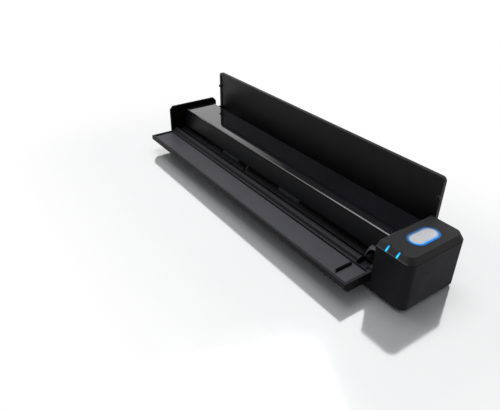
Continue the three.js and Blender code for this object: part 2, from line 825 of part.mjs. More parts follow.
function lightRing() {
  const top = bodyHeight + ringRise;
  const outer = alongZ(
    pill(buttonX, buttonCentreY, buttonLength + ringWidth * 2, buttonWidth + ringWidth * 2),
    top - ringDepth,
    top,
    cornerSegments * 2,
  );
  const inner = alongZ(
    pill(buttonX, buttonCentreY, buttonLength + fitGap * 2, buttonWidth + fitGap * 2),
    top - ringDepth - overrun,
    top + overrun,
    cornerSegments * 2,
  );
  return outer.subtract(inner);
}

function scanButton() {
  const lowZ = buttonTopZ - ringDepth - buttonRise;
  const cap = taperZ(
    pill(buttonX, buttonCentreY, buttonLength, buttonWidth),
    lowZ,
    pill(buttonX, buttonCentreY, buttonLength, buttonWidth),
    buttonTopZ - buttonBevel,
  );
  const crown = taperZ(
    pill(buttonX, buttonCentreY, buttonLength, buttonWidth),
    buttonTopZ - buttonBevel,
    pill(buttonX, buttonCentreY, buttonLength - buttonBevel * 2, buttonWidth - buttonBevel * 2),
    buttonTopZ,
  );
  return join([cap, crown]);
}

// Board with the soldered switch that the button presses
function controlBoard() {
  const switchTopZ = buttonTopZ - ringDepth - buttonRise - buttonTravel - seamGap;
  const board = block(housingInnerX + seamGap, rightX - wall * 2, frontY + edgeInset * 2,
    rearY - edgeInset * 2, boardBottomZ, boardBottomZ + boardThickness);
  const key = block(buttonX - switchHalf, buttonX + switchHalf, buttonCentreY - switchHalf,
    buttonCentreY + switchHalf, boardBottomZ + boardThickness / 2, switchTopZ);
  return join([board, key]);
}

function ioBoard() {
  return block(housingInnerX + seamGap, rightX - housingCornerRadius, ioBoardY[0], ioBoardY[1], ioBoardZ,
    ioBoardZ + boardThickness);
}

function usbInlet() {
  const z0 = rearRowZ - usbHeight / 2;
  const z1 = rearRowZ + usbHeight / 2;
  const shell = block(usbX - usbWidth / 2, usbX + usbWidth / 2, rearY - usbDepth, rearY - seamGap, z0, z1);
  const mouth = block(usbX - usbWidth / 2 + seamGap, usbX + usbWidth / 2 - seamGap, rearY - usbDepth + wall,
    rearY + overrun, z0 + seamGap, z1 - seamGap);
  const half = usbTongueWidth / 2;
  const tongue = block(usbX - half, usbX + half, rearY - usbDepth + wall / 2, rearY - wall, rearRowZ,
    rearRowZ + usbTongueHeight);
  return join([shell.subtract(mouth), tongue]);
}

function wifiSwitch() {
  const z0 = rearRowZ - rearKeyRadius + seamGap;
  const z1 = rearRowZ + rearKeyRadius - seamGap;
  const x0 = wifiX[0] + fitGap;
  return block(x0, x0 + wifiKnobWidth, rearY - wall * 2, rearY, z0, z1);
}

function rearKey() {
  return rodY(rearKeyX, rearRowZ, rearKeyRadius, rearY - wall - rearKeyRadius, rearY, smallSegments);
}

// Left end cap: the plate that closes the other end

function endCapShape(inset) {
  const y0 = frontY + inset;
  const y1 = rearY - inset;
  const z0 = bottomZ + inset;
  const z1 = bodyHeight - inset;
  return polygon([
    [y0 + bottomChamfer, z0],
    [y1 - bottomChamfer, z0],
    [y1, z0 + bottomChamfer],
    [y1, z1 - edgeDrop],
    [y1 - edgeInset, z1],
    [y0 + edgeInset, z1],
    [y0, z1 - edgeDrop],
    [y0, z0 + bottomChamfer],
  ]);
}

function leftEndCap() {
  const sections = [[capX, 0], [leftX + endCapSoftening, 0], [leftX, endCapSoftening]];
  const points = sections.flatMap(([x, inset]) => (
    endCapShape(inset).getPoints().map((p) => new THREE.Vector3(x, p.x, p.y))
  ));
  const plate = toSolid(new ConvexGeometry(points));
  const depth = endCapThickness - wall / 2;
  return cut(plate, [
    rodX(feedPivotY, feedPivotZ, guidePinRadius + fitGap, capX - depth, capX + overrun, smallSegments),
    rodX(coverPivotY, coverPivotZ, coverPinRadius + fitGap, capX - depth, capX + overrun, smallSegments),
  ]);
}

// Pins of the three hinges

const pinSink = endCapThickness - wall / 2 - fitGap;

function guidePin(side) {
  const [x0, x1] = side < 0
    ? [capX - pinSink, capX - pinSink + guidePinLength]
    : [housingInnerX - fitGap - guidePinLength, housingInnerX - fitGap];
  return rodX(feedPivotY, feedPivotZ, guidePinRadius, x0, x1, smallSegments);
}

function coverPin(side) {
  const [x0, x1] = side < 0
    ? [capX - pinSink, coverEndLeft]
    : [coverEndRight, housingInnerX];
  return rodX(coverPivotY, coverPivotZ, coverPinRadius, x0, x1, smallSegments);
}

function outputPin(side) {
  const [x0, x1] = side < 0
    ? [spanLeft + fitGap, coverEndLeft - fitGap]
    : [coverEndRight + fitGap, spanRight - fitGap];
  return rodX(outputPivotY, outputPivotZ, coverPinRadius, x0, x1, smallSegments);
}

// Feed guide, drawn open: shell with barrel, rim and ribs

const tabX = [coverRight - tabRightInset - tabWidth, coverRight - tabRightInset];
const guideEnds = [spanLeft, spanRight];

function feedGuideShell() {
  const chamferY = feedPivotY - (bodyHeight - edgeDrop - feedPivotZ);
  const chamferZ = feedPivotZ + (frontY + edgeInset - feedPivotY);
  const topAngle = Math.PI - Math.asin((feedTopZ - feedPivotZ) / feedBarrelRadius);
  const shape = new THREE.Shape();
  shape.moveTo(chamferY, feedGuideUnderside);
  shape.lineTo(feedFrontY, chamferZ);
  shape.lineTo(feedFrontY, feedTopZ);
  shape.absarc(feedPivotY, feedPivotZ, feedBarrelRadius, topAngle, -Math.PI / 2, true);
  shape.closePath();
  const body = alongX(shape, guideEnds[0], guideEnds[1]);
  const pocketFront = feedFrontY + guideRim;
  const pocketRear = feedPivotY - feedBarrelRadius - guideRim / 2;
  const pocketFloor = feedGuideUnderside + guideSkin;
  const seatZ = feedTopZ - guideRecess - guidePanelThickness - seamGap;
  const pocketSlope = chamferZ - feedGuideUnderside;
  const clearZ = feedTopZ + overrun;
  const cuts = [];
  const cells = Math.round((guideEnds[1] - guideEnds[0]) / guideRibPitch);
  const pitch = (guideEnds[1] - guideEnds[0] - guideRim * 2 + wall) / cells;
  for (let i = 0; i < cells; i += 1) {
    const x0 = guideEnds[0] + guideRim + i * pitch;
    const x1 = x0 + pitch - wall;
    cuts.push(block(x0, x1, pocketFront + pocketSlope, pocketRear, pocketFloor, clearZ));
  }
  cuts.push(block(guideEnds[0] + guideRim, guideEnds[1] - guideRim, pocketFront, pocketRear, seatZ, clearZ));
  cuts.push(block(tabX[0] - seamGap, tabX[1] + seamGap, pocketRear + wall / 2, feedPivotY + overrun,
    feedPivotZ, clearZ));
  for (const x of guideEnds) {
    cuts.push(rodX(feedPivotY, feedPivotZ, guidePinRadius + boreGap, x - guidePinLength, x + guidePinLength,
      smallSegments));
  }
  return cut(body, cuts);
}

function feedGuidePanel() {
  const topZ = feedTopZ - guideRecess;
  const x0 = guideEnds[0] + guideRim + seamGap;
  const x1 = guideEnds[1] - guideRim - seamGap;
  const y0 = feedFrontY + guideRim + seamGap;
  const y1 = feedPivotY - feedBarrelRadius - guideRim / 2 - seamGap;
  const plate = block(x0, x1, y0, y1, topZ - guidePanelThickness, topZ);
  const ribX = x1 - alignRibInset;
  const ribY = (y0 + y1) / 2;
  const rib = block(ribX - alignRibWidth / 2, ribX + alignRibWidth / 2, ribY - alignRibLength / 2,
    ribY + alignRibLength / 2, topZ - guidePanelThickness / 2, topZ + alignRibHeight);
  return join([plate, rib]);
}

// Top cover: bridge over the sheet path

function coverOutline(inset, openBelow) {
  const y0 = coverFrontY + inset;
  const y1 = coverRearY - inset;
  const z1 = coverShellZ - inset;
  const radius = Math.max(coverRearRadius - inset, coverLeastRadius);
  const drop = openBelow ? overrun : 0;
  const lip = coverLipY + inset;
  const shape = new THREE.Shape();
  shape.moveTo(lip, coverLipZ - drop);
  shape.lineTo(y1, coverLipZ - drop);
  shape.absarc(y1 - radius, z1 - radius, radius, 0, Math.PI / 2, false);
  shape.lineTo(y0, z1);
  shape.lineTo(lip, coverLipZ);
  shape.closePath();
  return shape;
}

const pinchSpanX = [
  laneCentre - rollerSpread - rollerWidth,
  laneCentre + rollerSpread + rollerWidth,
];

function topCover() {
  const outer = alongX(coverOutline(0, false), coverLeft, coverRight);
  const room = alongX(coverOutline(coverWall, true), coverEndLeft, coverEndRight);
  const innerRearY = coverRearY - coverWall - overrun;
  const rearRaise = block(coverEndLeft, coverEndRight, innerRearY, coverRearY + overrun, coverLipZ - overrun,
    coverRearZ);
  const shell = cut(outer, [room, rearRaise]);
  const ears = [earLeftX, earRightX].map(([x0, x1]) => coverEar(x0, x1));
  const forkTopZ = coverShellZ - wall / 2;
  const forkLowZ = pinchAxisZ - pinchShaftRadius - wall;
  const reach = pinchRollerRadius;
  const forks = [feedAxisY, ejectAxisY].flatMap((y) => (
    [pinchSpanX[0], laneCentre, pinchSpanX[1]].map((x) => (
      block(x - wall / 2, x + wall / 2, y - reach, y + reach, forkLowZ, forkTopZ)
    ))
  ));
  const holdLowZ = sensorTopZ + seamGap;
  const holdDowns = [laneLeft + rollerWidth, laneCentre, laneRight - rollerWidth].map((x) => (
    block(x - wall, x + wall, sensorCentreY - wall, sensorCentreY + wall, holdLowZ, forkTopZ)
  ));
  const body = join([shell, ...ears, ...forks, ...holdDowns, coverTab()]);
  const cuts = [];
  for (const y of [feedAxisY, ejectAxisY]) {
    cuts.push(boreX(y, pinchAxisZ, pinchShaftRadius + boreGap, pinchSpanX[0], pinchSpanX[1]));
  }
  for (const [x0, x1] of [earLeftX, earRightX]) {
    cuts.push(boreX(coverPivotY, coverPivotZ, coverPinRadius + boreGap, x0, x1));
    cuts.push(boreX(outputPivotY, outputPivotZ, coverPinRadius + fitGap, x0, x1));
  }
  return cut(body, cuts);
}

// One of the two ears that reach down to the cover's pins
function coverEar(x0, x1) {
  const y0 = coverPivotY - coverEarRadius;
  const stem = block(x0, x1, y0, coverRearY, coverPivotZ, coverRearZ);
  const eye = rodX(coverPivotY, coverPivotZ, coverEarRadius, x0, x1);
  return join([stem, eye]).intersect(block(x0, x1, y0, coverRearY, coverPivotZ - overrun, coverRearZ));
}

// Rounded finger tab at the front of the cover, for lifting it
function coverTab() {
  const centreY = coverLipY + tabSetback;
  const centreZ = coverLipZ - tabRadius / 2;
  const shape = new THREE.Shape();
  shape.moveTo(centreY + coverWall / 2, centreZ + tabRadius);
  shape.lineTo(centreY, centreZ + tabRadius);
  shape.absarc(centreY, centreZ, tabRadius, Math.PI / 2, Math.PI, false);
  shape.lineTo(centreY - tabRadius + tabThickness, centreZ);
  shape.absarc(centreY, centreZ, tabRadius - tabThickness, Math.PI, Math.PI / 2, true);
  shape.lineTo(centreY + coverWall / 2, centreZ + tabRadius - tabThickness);
  shape.closePath();
  const hood = alongX(shape, tabX[0], tabX[1]);
  const cheekShape = new THREE.Shape();
  cheekShape.moveTo(centreY + coverWall / 2, coverLipZ);
  cheekShape.lineTo(centreY + coverWall / 2, centreZ + tabRadius);
  cheekShape.absarc(centreY, centreZ, tabRadius, Math.PI / 2, Math.PI, false);
  cheekShape.closePath();
  const cheeks = [
    alongX(cheekShape, tabX[0], tabX[0] + tabThickness / 2),
    alongX(cheekShape, tabX[1] - tabThickness / 2, tabX[1]),
  ];
  return join([hood, ...cheeks]);
}

// Glossy plate on top of the cover, with its upper edges broken
function coverPlate() {
  const z0 = coverTopZ - coverPlateThickness;
  const shoulderZ = coverTopZ - coverPlateBevel;
  const outline = (inset) => polygon([
    [coverLeft + inset, coverFrontY + inset],
    [coverRight - inset, coverFrontY + inset],
    [coverRight - inset, coverRearY - coverRearRadius - inset],
    [coverLeft + inset, coverRearY - coverRearRadius - inset],
  ]);
  return join([
    taperZ(outline(0), z0, outline(0), shoulderZ),
    taperZ(outline(0), shoulderZ, outline(coverPlateBevel), coverTopZ),
  ]);
}

// Scan sensor bar and its glass

function sensorBar() {
  const half = sensorWidth / 2;
  const profile = polygon([
    [sensorCentreY - half + wall, sensorLowZ],
    [sensorCentreY + half - wall, sensorLowZ],
    [sensorCentreY + half, sensorLowZ + wall],
    [sensorCentreY + half, sensorTopZ],
    [sensorCentreY - half, sensorTopZ],
    [sensorCentreY - half, sensorLowZ + wall],
  ]);
  return alongX(profile, laneLeft + wall, laneRight - wall);
}

function sensorGlass() {
  const half = sensorWidth / 2 - wall;
  return block(laneLeft + wall, laneRight - wall, sensorCentreY - half, sensorCentreY + half,
    sensorLowZ - sensorGlassThickness, sensorLowZ - fitGap);
}

// Output guide, drawn closed in its own group, which is then turned up about its pivot

function outputGuide() {
  const x0 = spanLeft;
  const x1 = spanRight;
  const plan = new THREE.Shape();
  plan.moveTo(x0, rearY);
  plan.lineTo(x0, outputFrontY + outputCornerRadius);
  plan.absarc(x0 + outputCornerRadius, outputFrontY + outputCornerRadius, outputCornerRadius, Math.PI,
    1.5 * Math.PI, false);
  plan.absarc(x1 - outputCornerRadius, outputFrontY + outputCornerRadius, outputCornerRadius, 1.5 * Math.PI,
    2 * Math.PI, false);
  plan.lineTo(x1, rearY);
  plan.closePath();
  const plate = alongZ(plan, outputUnderZ, bodyHeight);
  const edge = polygon([
    [rearY + overrun, bodyHeight + overrun],
    [rearY - edgeInset - overrun, bodyHeight + overrun],
    [rearY - edgeInset, bodyHeight],
    [rearY, bodyHeight - edgeDrop],
    [rearY + overrun, bodyHeight - edgeDrop],
  ]);
  const recess = block(x0 + guideRim, x1 - guideRim, outputFrontY + guideRim, rearY - edgeInset - guideRim,
    outputUnderZ - overrun, outputUnderZ + guideRecess);
  const panel = cut(plate, [alongX(edge, x0 - overrun, x1 + overrun), recess]);
  const arms = [
    outputArm(x0, x0 + armThickness),
    outputArm(x1 - armThickness, x1),
  ];
  return join([panel, ...arms]);
}

// Slim side arm that reaches from the panel down to its pin, with the stop boss further up the panel
function outputArm(x0, x1) {
  const rootZ = outputUnderZ + guideRecess / 2;
  const stop = rodX(outputPivotY - stopSetback, outputUnderZ, stopRadius, x0, x1, smallSegments);
  const gusset = polygon([
    [outputPivotY - armSpread, rootZ],
    [outputPivotY - armDiscRadius, outputPivotZ],
    [outputPivotY + armDiscRadius, outputPivotZ],
    [outputPivotY + armRearSpread, rootZ],
  ]);
  const disc = rodX(outputPivotY, outputPivotZ, armDiscRadius, x0, x1);
  const bore = rodX(outputPivotY, outputPivotZ, coverPinRadius + boreGap, x0 - overrun, x1 + overrun,
    smallSegments);
  return join([alongX(gusset, x0, x1), disc, stop]).subtract(bore);
}

// Battery and main board in the lower case

const bayX = [leftRibX + ribThickness + seamGap * 2, rightRibX - seamGap * 2];
const bayY = [channelRearY + seamGap, screwY - screwShankRadius - wall - seamGap];
const bayZ = floorZ + seamGap;
const bayLength = bayX[1] - bayX[0];

// The battery fills the height that the feed rollers leave free
function batteryPack() {
  const x1 = bayX[0] + bayLength * batteryLengthShare;
  return block(bayX[0], x1, bayY[0], bayY[1], bayZ, axisZ - feedRollerRadius - seamGap * 2);
}

function mainBoard() {
  const length = bayLength * mainBoardLengthShare;
  const x0 = bayX[1] - length;
  const faceZ = bayZ + boardThickness;
  const board = block(x0, bayX[1], bayY[0], bayY[1], bayZ, faceZ);
  const pitch = length / chipCount;
  const half = chipSize / 2;
  const y = (bayY[0] + bayY[1]) / 2;
  const chipLowZ = faceZ - boardThickness / 2;
  const chipTopZ = faceZ + boardThickness - seamGap;
  const parts = [board];
  for (let i = 0; i < chipCount; i += 1) {
    const x = x0 + pitch / 2 + i * pitch;
    parts.push(block(x - half, x + half, y - half, y + half, chipLowZ, chipTopZ));
  }
  return join(parts);
}

// Assembly

const base = new THREE.Group();
const cover = new THREE.Group();
const feedGuide = new THREE.Group();
const outputTurn = new THREE.Group();
group.add(base, cover, feedGuide, outputTurn);

piece(base, "lower_case", "satinBlack", lowerCase());
piece(base, "feed_bed", "satinBlack", feedBed());
const platen = platenBox(0);
piece(base, "white_platen", "white", block(...platen));
piece(base, "left_end_cap", "satinBlack", leftEndCap());
piece(base, "right_housing", "sideBlack", rightHousing());
piece(base, "control_bezel", "bezelGrey", controlBezel());
piece(base, "button_light_ring", "ringBlue", lightRing());
piece(base, "scan_button", "silver", scanButton());
piece(base, "control_board", "boardGreen", controlBoard());
statusLightX().forEach((x, i) => {
  piece(base, `status_light_${i + 1}`, "lightBlue", statusLight(x, 0));
});
footCentres().forEach(([x, y], i) => {
  piece(base, `rubber_foot_${i + 1}`, "rubber", rubberFoot(x, y));
});
screwCentres().forEach(([x, y], i) => {
  piece(base, `case_screw_${i + 1}`, "steel", caseScrew(x, y));
});
piece(base, "battery_pack", "battery", batteryPack());
piece(base, "main_board", "boardGreen", mainBoard());
piece(base, "sheet_sensor_lever", "satinBlack", sensorLever());

piece(base, "feed_shaft", "steel", shaft(feedAxisY));
piece(base, "eject_shaft", "steel", shaft(ejectAxisY));
feedRollersX.forEach((x, i) => {
  const side = i === 0 ? "left" : "right";
  piece(base, `feed_roller_${side}`, "rollerRubber",
    roller(x, feedAxisY, axisZ, feedRollerRadius, shaftRadius + fitGap, rollerWidth));
  piece(base, `eject_roller_${side}`, "rollerRubber",
    roller(x, ejectAxisY, axisZ, ejectRollerRadius, shaftRadius + fitGap, rollerWidth));
});
piece(base, "feed_bush_left", "acetal", bush(leftRibX, feedAxisY));
piece(base, "feed_bush_right", "acetal", bush(housingX, feedAxisY));
piece(base, "eject_bush_left", "acetal", bush(leftRibX, ejectAxisY));
piece(base, "eject_bush_right", "acetal", bush(housingX, ejectAxisY));

piece(base, "feed_gear", "acetal",
  gear(feedTeeth, feedAxisY, axisZ, feedPhase, gearLayerX, shaftRadius + fitGap));
piece(base, "idler_gear", "acetal",
  gear(idlerTeeth, idlerAxisY, axisZ, idlerPhase, gearLayerX, stubRadius + boreGap));
piece(base, "eject_gear", "acetal",
  gear(ejectTeeth, ejectAxisY, axisZ, ejectPhase, gearLayerX, shaftRadius + fitGap));
piece(base, "reduction_gear", "acetal", reductionGear());
piece(base, "motor_pinion", "steel", motorPinion());
piece(base, "motor_plate", "steel", motorPlate());
piece(base, "motor", "steel", motor());
piece(base, "io_board", "boardGreen", ioBoard());
piece(base, "usb_inlet", "steel", usbInlet());
piece(base, "wifi_switch", "satinBlack", wifiSwitch());
piece(base, "rear_key", "satinBlack", rearKey());

for (const [side, word] of [[-1, "left"], [1, "right"]]) {
  piece(base, `feed_guide_pin_${word}`, "steel", guidePin(side));
  piece(base, `cover_pin_${word}`, "steel", coverPin(side));
  piece(cover, `output_guide_pin_${word}`, "steel", outputPin(side));
}

piece(cover, "top_cover", "satinBlack", topCover());
piece(cover, "cover_plate", "glossBlack", coverPlate());
piece(cover, "sensor_bar", "satinBlack", sensorBar());
piece(cover, "sensor_glass", "glass", sensorGlass());
for (const [word, y] of [["front", feedAxisY], ["rear", ejectAxisY]]) {
  const x0 = pinchSpanX[0] - wall * 2;
  const x1 = pinchSpanX[1] + wall * 2;
  piece(cover, `pinch_shaft_${word}`, "steel", rodX(y, pinchAxisZ, pinchShaftRadius, x0, x1, smallSegments));
  feedRollersX.forEach((x, i) => {
    const side = i === 0 ? "left" : "right";
    piece(cover, `pinch_roller_${word}_${side}`, "rollerRubber",
      roller(x, y, pinchAxisZ, pinchRollerRadius, pinchShaftRadius + fitGap, rollerWidth));
  });
}

piece(feedGuide, "feed_guide_shell", "guideGrey", feedGuideShell());
piece(feedGuide, "feed_guide_panel", "guideGrey", feedGuidePanel());

const outputMesh = piece(outputTurn, "output_guide", "satinBlack", outputGuide());
outputMesh.position.set(0, -outputPivotY, -outputPivotZ);
outputTurn.position.set(0, outputPivotY, outputPivotZ);
outputTurn.rotation.x = -Math.PI / 2;

// The origin is under the middle of the scanner as it stands open
const bounds = new THREE.Box3().setFromObject(group);
group.position.y = -(bounds.min.y + bounds.max.y) / 2;
group.updateMatrixWorld(true);

export default group;
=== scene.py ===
"""Portable document scanner: looks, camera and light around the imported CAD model."""

import json
import math

import bmesh
import bpy
from mathutils import Matrix, Vector

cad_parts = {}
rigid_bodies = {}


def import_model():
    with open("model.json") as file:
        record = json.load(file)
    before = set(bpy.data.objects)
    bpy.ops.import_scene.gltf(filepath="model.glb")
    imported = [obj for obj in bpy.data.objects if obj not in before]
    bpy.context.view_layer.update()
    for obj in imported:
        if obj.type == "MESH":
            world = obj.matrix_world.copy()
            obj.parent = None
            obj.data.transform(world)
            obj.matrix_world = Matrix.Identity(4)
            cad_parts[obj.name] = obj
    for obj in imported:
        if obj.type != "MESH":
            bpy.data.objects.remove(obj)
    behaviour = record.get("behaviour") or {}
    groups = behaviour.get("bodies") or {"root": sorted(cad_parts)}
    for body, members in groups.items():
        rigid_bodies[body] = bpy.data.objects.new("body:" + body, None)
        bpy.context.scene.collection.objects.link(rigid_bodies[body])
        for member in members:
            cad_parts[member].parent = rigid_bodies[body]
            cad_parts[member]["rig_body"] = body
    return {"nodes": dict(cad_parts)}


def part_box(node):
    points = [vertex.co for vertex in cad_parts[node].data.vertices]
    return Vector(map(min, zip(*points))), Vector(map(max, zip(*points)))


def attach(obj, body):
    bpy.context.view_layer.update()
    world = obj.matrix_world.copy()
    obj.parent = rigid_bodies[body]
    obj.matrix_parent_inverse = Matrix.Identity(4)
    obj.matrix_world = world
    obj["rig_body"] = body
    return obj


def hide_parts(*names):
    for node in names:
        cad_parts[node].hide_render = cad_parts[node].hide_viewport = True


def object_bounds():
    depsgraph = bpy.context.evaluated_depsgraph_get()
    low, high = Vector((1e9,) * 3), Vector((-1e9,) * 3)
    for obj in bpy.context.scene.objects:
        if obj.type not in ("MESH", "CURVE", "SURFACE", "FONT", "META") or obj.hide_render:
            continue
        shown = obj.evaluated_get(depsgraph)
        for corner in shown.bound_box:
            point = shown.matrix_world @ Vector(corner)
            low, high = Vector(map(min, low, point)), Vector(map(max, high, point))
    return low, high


for spare in list(bpy.data.objects):
    bpy.data.objects.remove(spare)

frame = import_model()
cad_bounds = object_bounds()
nodes = frame["nodes"]

MM = 0.001
ROW_SHIFT_MM = 6.525  # the row frame's Y is the drawing's Y plus this


def place(x, y, z):
    """A point of the drawing, in millimetres, as a row frame point in metres."""
    return Vector((x * MM, (y + ROW_SHIFT_MM) * MM, z * MM))


# Camera, fitted to corners of the object in the photograph
CAMERA_AZIMUTH = math.radians(54.828)
CAMERA_ELEVATION = math.radians(31.66)
CAMERA_ROLL = math.radians(0.676)
CAMERA_DISTANCE_MM = 380.374
CAMERA_ACROSS_MM = -24.615
CAMERA_UP_MM = -5.296
FOCAL_SHARE = 496.74 / 500  # focal length over picture width, in pixels
SENSOR_WIDTH = 36
CLIP_NEAR = 0.01
CLIP_FAR = 30


def add_camera():
    back = Vector((
        math.sin(CAMERA_AZIMUTH) * math.cos(CAMERA_ELEVATION),
        -math.cos(CAMERA_AZIMUTH) * math.cos(CAMERA_ELEVATION),
        math.sin(CAMERA_ELEVATION),
    ))
    level = Vector((math.cos(CAMERA_AZIMUTH), math.sin(CAMERA_AZIMUTH), 0))
    upright = back.cross(level)
    right = level * math.cos(CAMERA_ROLL) + upright * math.sin(CAMERA_ROLL)
    up = -level * math.sin(CAMERA_ROLL) + upright * math.cos(CAMERA_ROLL)
    spot = back * CAMERA_DISTANCE_MM + right * CAMERA_ACROSS_MM + up * CAMERA_UP_MM
    data = bpy.data.cameras.new("camera")
    data.sensor_width = SENSOR_WIDTH
    data.lens = FOCAL_SHARE * SENSOR_WIDTH
    data.clip_start = CLIP_NEAR
    data.clip_end = CLIP_FAR
    camera = bpy.data.objects.new("camera", data)
    bpy.context.scene.collection.objects.link(camera)
    turn = Matrix((right, up, back)).transposed().to_4x4()
    camera.matrix_world = Matrix.Translation(place(*spot)) @ turn
    bpy.context.scene.camera = camera


# Materials. Colours are linear.

CLOUD_LOW, CLOUD_HIGH = 0.3, 0.7  # most of a noise texture lies between these
EVEN = (1, 1, 1)


class Shader:
    """A small helper that builds a node material around one Principled shader."""

    def __init__(self, name):
        self.material = bpy.data.materials.new(name)
        self.material.use_nodes = True
        self.tree = self.material.node_tree
        self.shader = self.tree.nodes["Principled BSDF"]
        self.coords = self.add("ShaderNodeTexCoord").outputs["Object"]

    def add(self, kind, **inputs):
        node = self.tree.nodes.new(kind)
        for key, value in inputs.items():
            node.inputs[key.replace("_", " ")].default_value = value
        return node

    def link(self, start, end):
        self.tree.links.new(start, end)

    def set(self, **values):
        for key, value in values.items():
            self.shader.inputs[key.replace("_", " ")].default_value = value
        return self

    # Coordinates

    def split(self, vector):
        node = self.add("ShaderNodeSeparateXYZ")
        self.link(vector, node.inputs["Vector"])
        return node.outputs

    def axes(self):
        """The place on the object along X, Y and Z, in metres."""
        return self.split(self.coords)

    def facing(self, axis):
        """How far a face looks along an axis, -1 to 1."""
        return self.split(self.add("ShaderNodeTexCoord").outputs["Normal"])[axis]

    # Values

    def noise(self, scale, detail=3, stretch=EVEN):
        mapping = self.add("ShaderNodeMapping", Scale=stretch)
        self.link(self.coords, mapping.inputs["Vector"])
        noise = self.add("ShaderNodeTexNoise", Scale=scale, Detail=detail)
        self.link(mapping.outputs["Vector"], noise.inputs["Vector"])
        return noise.outputs["Fac"]

    def math(self, operation, a, b=None):
        node = self.tree.nodes.new("ShaderNodeMath")
        node.operation = operation
        for socket, value in zip(node.inputs, (a, b)):
            if value is None:
                continue
            if isinstance(value, (int, float)):
                socket.default_value = value
            else:
                self.link(value, socket)
        return node.outputs[0]

    def product(self, first, *others):
        for other in others:
            first = self.math("MULTIPLY", first, other)
        return first

    def ranged(self, value, low, high, start=CLOUD_LOW, stop=CLOUD_HIGH):
        """The low value up to the start, the high one from the stop on."""
        node = self.add(
            "ShaderNodeMapRange", From_Min=start, From_Max=stop, To_Min=low, To_Max=high
        )
        self.link(value, node.inputs["Value"])
        return node.outputs["Result"]

    def rising(self, value, start, stop):
        return self.ranged(value, 0, 1, start, stop)

    def falling(self, value, start, stop):
        return self.ranged(value, 1, 0, start, stop)

    def off(self, value, at):
        """Distance of a value from a place, on either side."""
        return self.math("ABSOLUTE", self.math("SUBTRACT", value, at))

    def near(self, value, at, reach):
        """1 at a place along an axis, falling to 0 at the reach on either side."""
        return self.falling(self.off(value, at), reach / 2, reach)

    def away(self, centre, halves):
        """Distance in plan, in metres, from a rectangle with this centre and half sizes."""
        squares = []
        for axis, middle, half in zip(self.axes(), centre, halves):
            past = self.math("SUBTRACT", self.off(axis, middle), half)
            past = self.math("MAXIMUM", past, 0.0)
            squares.append(self.math("MULTIPLY", past, past))
        return self.math("SQRT", self.math("ADD", *squares))

    # Colours

    def mix(self, factor, a, b):
        node = self.tree.nodes.new("ShaderNodeMix")
        node.data_type = "RGBA"
        self.link(factor, node.inputs["Factor"])
        for key, value in (("A", a), ("B", b)):
            socket = [s for s in node.inputs if s.name == key and s.type == "RGBA"][0]
            if isinstance(value, tuple):
                socket.default_value = (*value, 1)
            else:
                self.link(value, socket)
        return [s for s in node.outputs if s.type == "RGBA"][0]

    def ramp(self, value, stops):
        """Colour ramp over a list of places and colours."""
        node = self.tree.nodes.new("ShaderNodeValToRGB")
        marks = node.color_ramp.elements
        while len(marks) < len(stops):
            marks.new(0.5)
        for mark, (position, colour) in zip(marks, stops):
            mark.position = position
            mark.color = (*colour, 1)
        self.link(value, node.inputs["Fac"])
        return node.outputs["Color"]

    def paint(self, colour, *sockets):
        for socket in sockets:
            self.link(colour, self.shader.inputs[socket])

    def tint(self, colour, spread, scale=45, detail=4, stretch=EVEN):
        """Base colour that drifts a little about the one given."""
        cloud = self.ranged(self.noise(scale, detail, stretch), 0, 1)
        low = tuple(c * (1 - spread) for c in colour)
        high = tuple(min(1, c * (1 + spread)) for c in colour)
        self.paint(self.mix(cloud, low, high), "Base Color")

    def overlay(self, factor, colour):
        """Lays a colour over the base colour where the factor says so."""
        body = self.shader.inputs["Base Color"].links[0].from_socket
        self.paint(self.mix(factor, body, colour), "Base Color")

    # Surface

    def rough(self, level, spread, scale=70, stretch=EVEN):
        cloud = self.noise(scale, stretch=stretch)
        value = self.ranged(cloud, max(0, level - spread), min(1, level + spread))
        self.link(value, self.shader.inputs["Roughness"])

    def bump(self, height, depth_mm, strength):
        node = self.add("ShaderNodeBump", Strength=strength, Distance=depth_mm * MM)
        self.link(height, node.inputs["Height"])
        self.link(node.outputs["Normal"], self.shader.inputs["Normal"])


def moulded(name, colour, rough, gloss, grain_scale=2600, grain_mm=0.02, spread=0.12):
    """Injection-moulded plastic: fine spark texture, slight flow marks, uneven sheen."""
    s = Shader(name)
    s.tint(colour, spread)
    s.rough(rough, spread=0.05)
    s.bump(s.noise(grain_scale, detail=2), grain_mm, strength=0.5)
    return s.set(Specular_IOR_Level=gloss)


# Feed guide: height of its aligning rib, and the painted shade and painted light of rib, groove
# and rim
RIB_MM = 1.6
# Painted shade: the rib's black; painted highlight: the grey on its left edge and front end
RIB_SHADE_BLACK = (0.003, 0.003, 0.0033)
RIB_LIT = (0.16, 0.16, 0.17)
# Black used for painted shade in grooves, openings and corners
PAINTED_SHADE_BLACK = (0.002, 0.002, 0.0022)
GUIDE_RIM_LIT_GREY = (0.024, 0.024, 0.028)


def guide_grained(name, colour):
    """Grained moulding; its faces that do not look up, in the groove round it, are painted black
    as painted shade.
    """
    s = moulded(name, colour, rough=0.5, gloss=0.35, grain_scale=2400, grain_mm=0.025)
    # Painted shade: faces that do not look up are painted black.
    s.overlay(s.falling(s.facing("Z"), 0.8, 0.96), PAINTED_SHADE_BLACK)
    return s


def rib_painted_shade(name, colour):
    """Rib painted black as painted shade; its left edge and front end get a painted highlight."""
    s = moulded(name, colour, rough=0.6, gloss=0.03)
    left = s.falling(s.facing("X"), -0.95, -0.5)
    front = s.falling(s.facing("Y"), -0.9, -0.5)
    # Painted highlight on faces that look left or forward.
    s.overlay(s.math("MAXIMUM", left, front), RIB_LIT)
    return s


